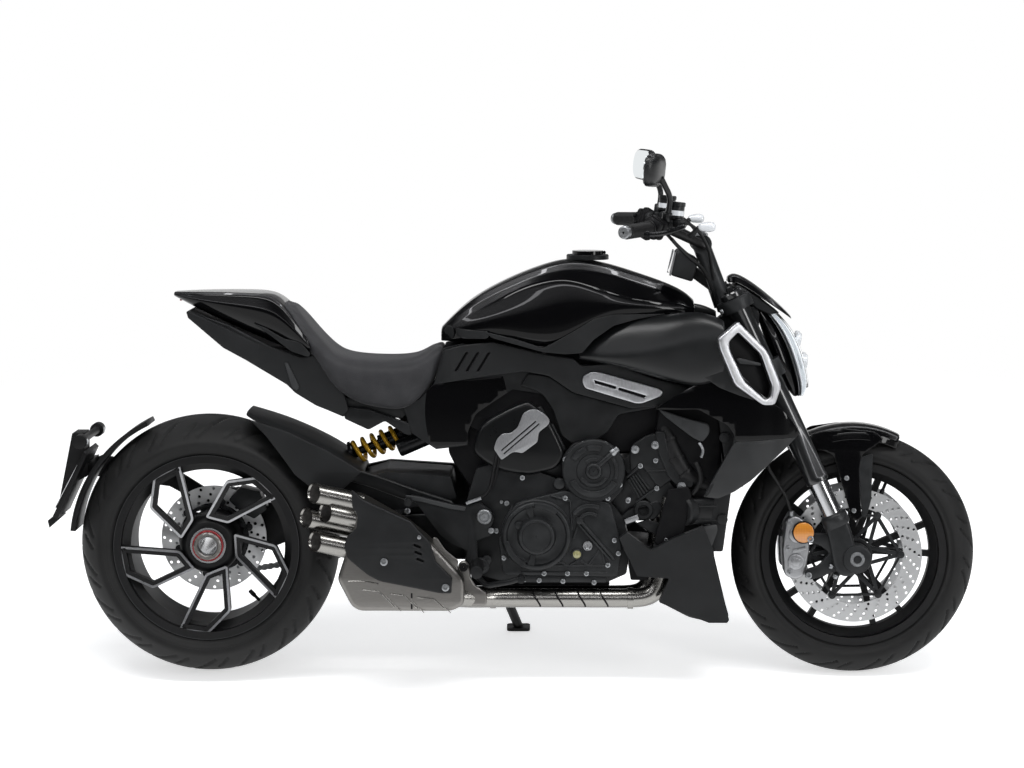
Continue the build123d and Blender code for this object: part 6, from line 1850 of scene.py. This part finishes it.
# ---------------------------------------------------------------- chain
pitch = 15.875
rear_run, front_run = 109, 38
front_shaft = Vector((shaft_x, 0, shaft_z))
back_shaft = Vector((0, 0, rear_axle_z))
span = (front_shaft - back_shaft).length
slope = asin((front_shaft.z - back_shaft.z) / span)
spread = asin((rear_run - front_run) / span)


def chain_places():
    """Pin places round both sprockets: straight, round the front, straight, round the back."""
    top, low = slope + pi / 2 - spread, slope - pi / 2 + spread
    straight = sqrt(span ** 2 - (rear_run - front_run) ** 2)
    front_arc, back_arc = front_run * (top - low), rear_run * (2 * pi - (top - low))
    whole = 2 * straight + front_arc + back_arc
    count = 2 * round(whole / pitch / 2)
    spots = []
    for k in range(count):
        far = whole * k / count
        if far < straight:
            start = back_shaft + Vector((cos(top), 0, sin(top))) * rear_run
            end = front_shaft + Vector((cos(top), 0, sin(top))) * front_run
            spots.append(start.lerp(end, far / straight))
            continue
        far -= straight
        if far < front_arc:
            turn = top - far / front_run
            spots.append(front_shaft + Vector((cos(turn), 0, sin(turn))) * front_run)
            continue
        far -= front_arc
        if far < straight:
            start = front_shaft + Vector((cos(low), 0, sin(low))) * front_run
            end = back_shaft + Vector((cos(low), 0, sin(low))) * rear_run
            spots.append(start.lerp(end, far / straight))
            continue
        turn = low - (far - straight) / rear_run
        spots.append(back_shaft + Vector((cos(turn), 0, sin(turn))) * rear_run)
    return spots


def link_plate(near, far):
    """One waisted side plate of a link, lying along X from its first pin."""
    outline = [(-5.5, -4), (-5.5, 4), (-3, 6.6), (3, 6.6), (pitch / 2, 4.6), (pitch - 3, 6.6),
        (pitch + 3, 6.6), (pitch + 5.5, 4), (pitch + 5.5, -4), (pitch + 3, -6.6), (pitch - 3, -6.6),
        (pitch / 2, -4.6), (3, -6.6), (-3, -6.6)]
    return flat([outline], near, far, 0.3, 0)


pins = chain_places()
outer_link = join([
    link_plate(-178.4, -176), link_plate(-160, -157.6), disc(0, 0, -179.4, -156.6, 2.6, 0, 10),
    disc(pitch, 0, -179.4, -156.6, 2.6, 0, 10)])
inner_link = join([
    link_plate(-175, -172.6), link_plate(-163.4, -161), disc(0, 0, -173, -163, 5.1, 0, 14),
    disc(pitch, 0, -173, -163, 5.1, 0, 14)])
chain_moves = []
for at, spot in enumerate(pins):
    run = pins[(at + 1) % len(pins)] - spot
    chain_moves.append(Matrix.Translation(spot) @ Matrix.Rotation(-atan2(run.z, run.x), 4, "Y"))
links = join([repeat(outer_link, chain_moves[::2]), repeat(inner_link, chain_moves[1::2])])
place(links, "chain_links", "chassis", "chain_steel", zinc)
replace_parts(links, "drive_chain")

# ---------------------------------------------------------------- floor, light and camera
floor_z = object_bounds()[0].z
bpy.ops.mesh.primitive_plane_add(size=60, location=(0, 0, floor_z))
studio_floor = bpy.context.object
studio_floor.name = "studio_floor"
# painted studio floor: even, pale and dull near the bike, plain white further off
floor_paint, tree, shader, at = surface("floor_paint_white", "#f6f6f6", 0.9, Specular_IOR_Level=0.1)
ray = add(tree, "LightPath")
mirrored = add(tree, "Math", {"operation": "MAXIMUM"}, _0=ray.outputs["Is Glossy Ray"],
    _1=ray.outputs["Is Transmission Ray"])
seen = add(tree, "Math", {"operation": "MAXIMUM"}, _0=ray.outputs["Is Camera Ray"], _1=mirrored.outputs[0])
reach = add(tree, "VectorMath", {"operation": "LENGTH"}, Vector=at)
far_off = add(tree, "MapRange", Value=reach.outputs["Value"], From_Min=1.5, From_Max=3.2)
share = add(tree, "Math", {"operation": "MULTIPLY"}, _0=far_off.outputs["Result"], _1=seen.outputs[0])
floor_glow = 0.54                         # brings the lit floor near the bike up to white
lift_share = add(tree, "Math", {"operation": "MULTIPLY"}, _0=seen.outputs[0], _1=floor_glow)
lift = add(tree, "Emission", Strength=lift_share.outputs[0])
white = add(tree, "Emission", Strength=1.0)
near_floor = add(tree, "AddShader", _0=shader.outputs[0], _1=lift.outputs[0])
floor_mix = add(tree, "MixShader", Fac=share.outputs[0], _1=near_floor.outputs[0], _2=white.outputs[0])
tree.links.new(floor_mix.outputs[0], tree.nodes["Material Output"].inputs["Surface"])
studio_floor.data.materials.append(floor_paint)

world = bpy.data.worlds.new("studio")
bpy.context.scene.world = world
world.use_nodes = True
tree = world.node_tree
ray = add(tree, "LightPath")
white_room = tree.nodes["Background"]
white_room.inputs["Color"].default_value = (1, 1, 1, 1)
lit_room = add(tree, "Background", Color=(0.85, 0.87, 0.9, 1), Strength=0.55)
direction = add(tree, "TexCoord").outputs["Generated"]
height = add(tree, "SeparateXYZ", Vector=direction).outputs["Z"]
# one thin bright strip runs round the room for gloss paint to mirror as crisp lines
strip_height, strip_half, strip_light = 0.52, 0.012, 9.0
strip = add(tree, "Math", {"operation": "COMPARE"}, _0=height, _1=strip_height, _2=strip_half)
strip_level = add(tree, "Math", {"operation": "MULTIPLY_ADD"}, _0=strip.outputs[0], _1=strip_light, _2=1.0)
glossy_room = add(tree, "Background", Strength=strip_level.outputs[0])
bands = add(tree, "ValToRGB", Fac=height)
tree.links.new(bands.outputs["Color"], glossy_room.inputs["Color"])
ramp = bands.color_ramp
ramp.elements[0].position = 0.0
ramp.elements[0].color = (0.2, 0.2, 0.2, 1)
ramp.elements[1].position = 1.0
ramp.elements[1].color = (0.04, 0.04, 0.042, 1)
for height_share, level in ((0.05, 0.05), (0.36, 0.03), (0.46, 0.7), (0.6, 0.8), (0.68, 0.06)):
    ramp.elements.new(height_share).color = (level, level, level * 1.03, 1)
seen = add(tree, "Math", {"operation": "MAXIMUM"}, _0=ray.outputs["Is Camera Ray"],
    _1=ray.outputs["Is Transmission Ray"])
gloss_mix = add(tree, "MixShader", Fac=ray.outputs["Is Glossy Ray"], _1=lit_room.outputs[0],
    _2=glossy_room.outputs[0])
room = add(tree, "MixShader", Fac=seen.outputs[0], _1=gloss_mix.outputs[0], _2=white_room.outputs[0])
tree.links.new(room.outputs[0], tree.nodes["World Output"].inputs["Surface"])


def softbox(name, place, target, size, power, mirrored=True):
    """A rectangular lamp that faces a point; one that isn't mirrored leaves no patch on gloss paint."""
    data = bpy.data.lights.new(name, "AREA")
    data.shape = "RECTANGLE"
    data.size, data.size_y = size
    data.energy = power
    lamp = bpy.data.objects.new(name, data)
    bpy.context.scene.collection.objects.link(lamp)
    lamp.location = place
    lamp.rotation_euler = (Vector(target) - Vector(place)).to_track_quat("-Z", "Y").to_euler()
    lamp.visible_glossy = mirrored


softbox("overhead_strip", (0.0, -0.9, 3.2), (0.0, 0.0, 0.6), (4.6, 0.5), 90)
softbox("front_quarter", (3.4, -2.6, 1.9), (0.3, 0.0, 0.6), (1.0, 1.6), 40)
softbox("side_fill", (-1.2, -4.2, 1.2), (0.0, 0.0, 0.5), (3.0, 0.5), 25, False)

camera_data = bpy.data.cameras.new("camera")
camera_data.sensor_width = 36
camera_data.lens = 100
camera = bpy.data.objects.new("camera", camera_data)
bpy.context.scene.collection.objects.link(camera)
camera_distance = 7000                    # a long lens well back keeps both wheels round
viewpoint = bike @ Vector((840, -camera_distance, 1400))
target = bike @ Vector((749, 0, 715))
camera.location = viewpoint
bike_up = (bike.to_3x3() @ Vector((0, 0, 1))).normalized()
backward = (viewpoint - target).normalized()
rightward = bike_up.cross(backward).normalized()
upward = backward.cross(rightward)
camera.rotation_euler = Matrix((rightward, upward, backward)).transposed().to_euler()
bpy.context.scene.camera = camera
bpy.context.scene.view_settings.view_transform = "Standard"
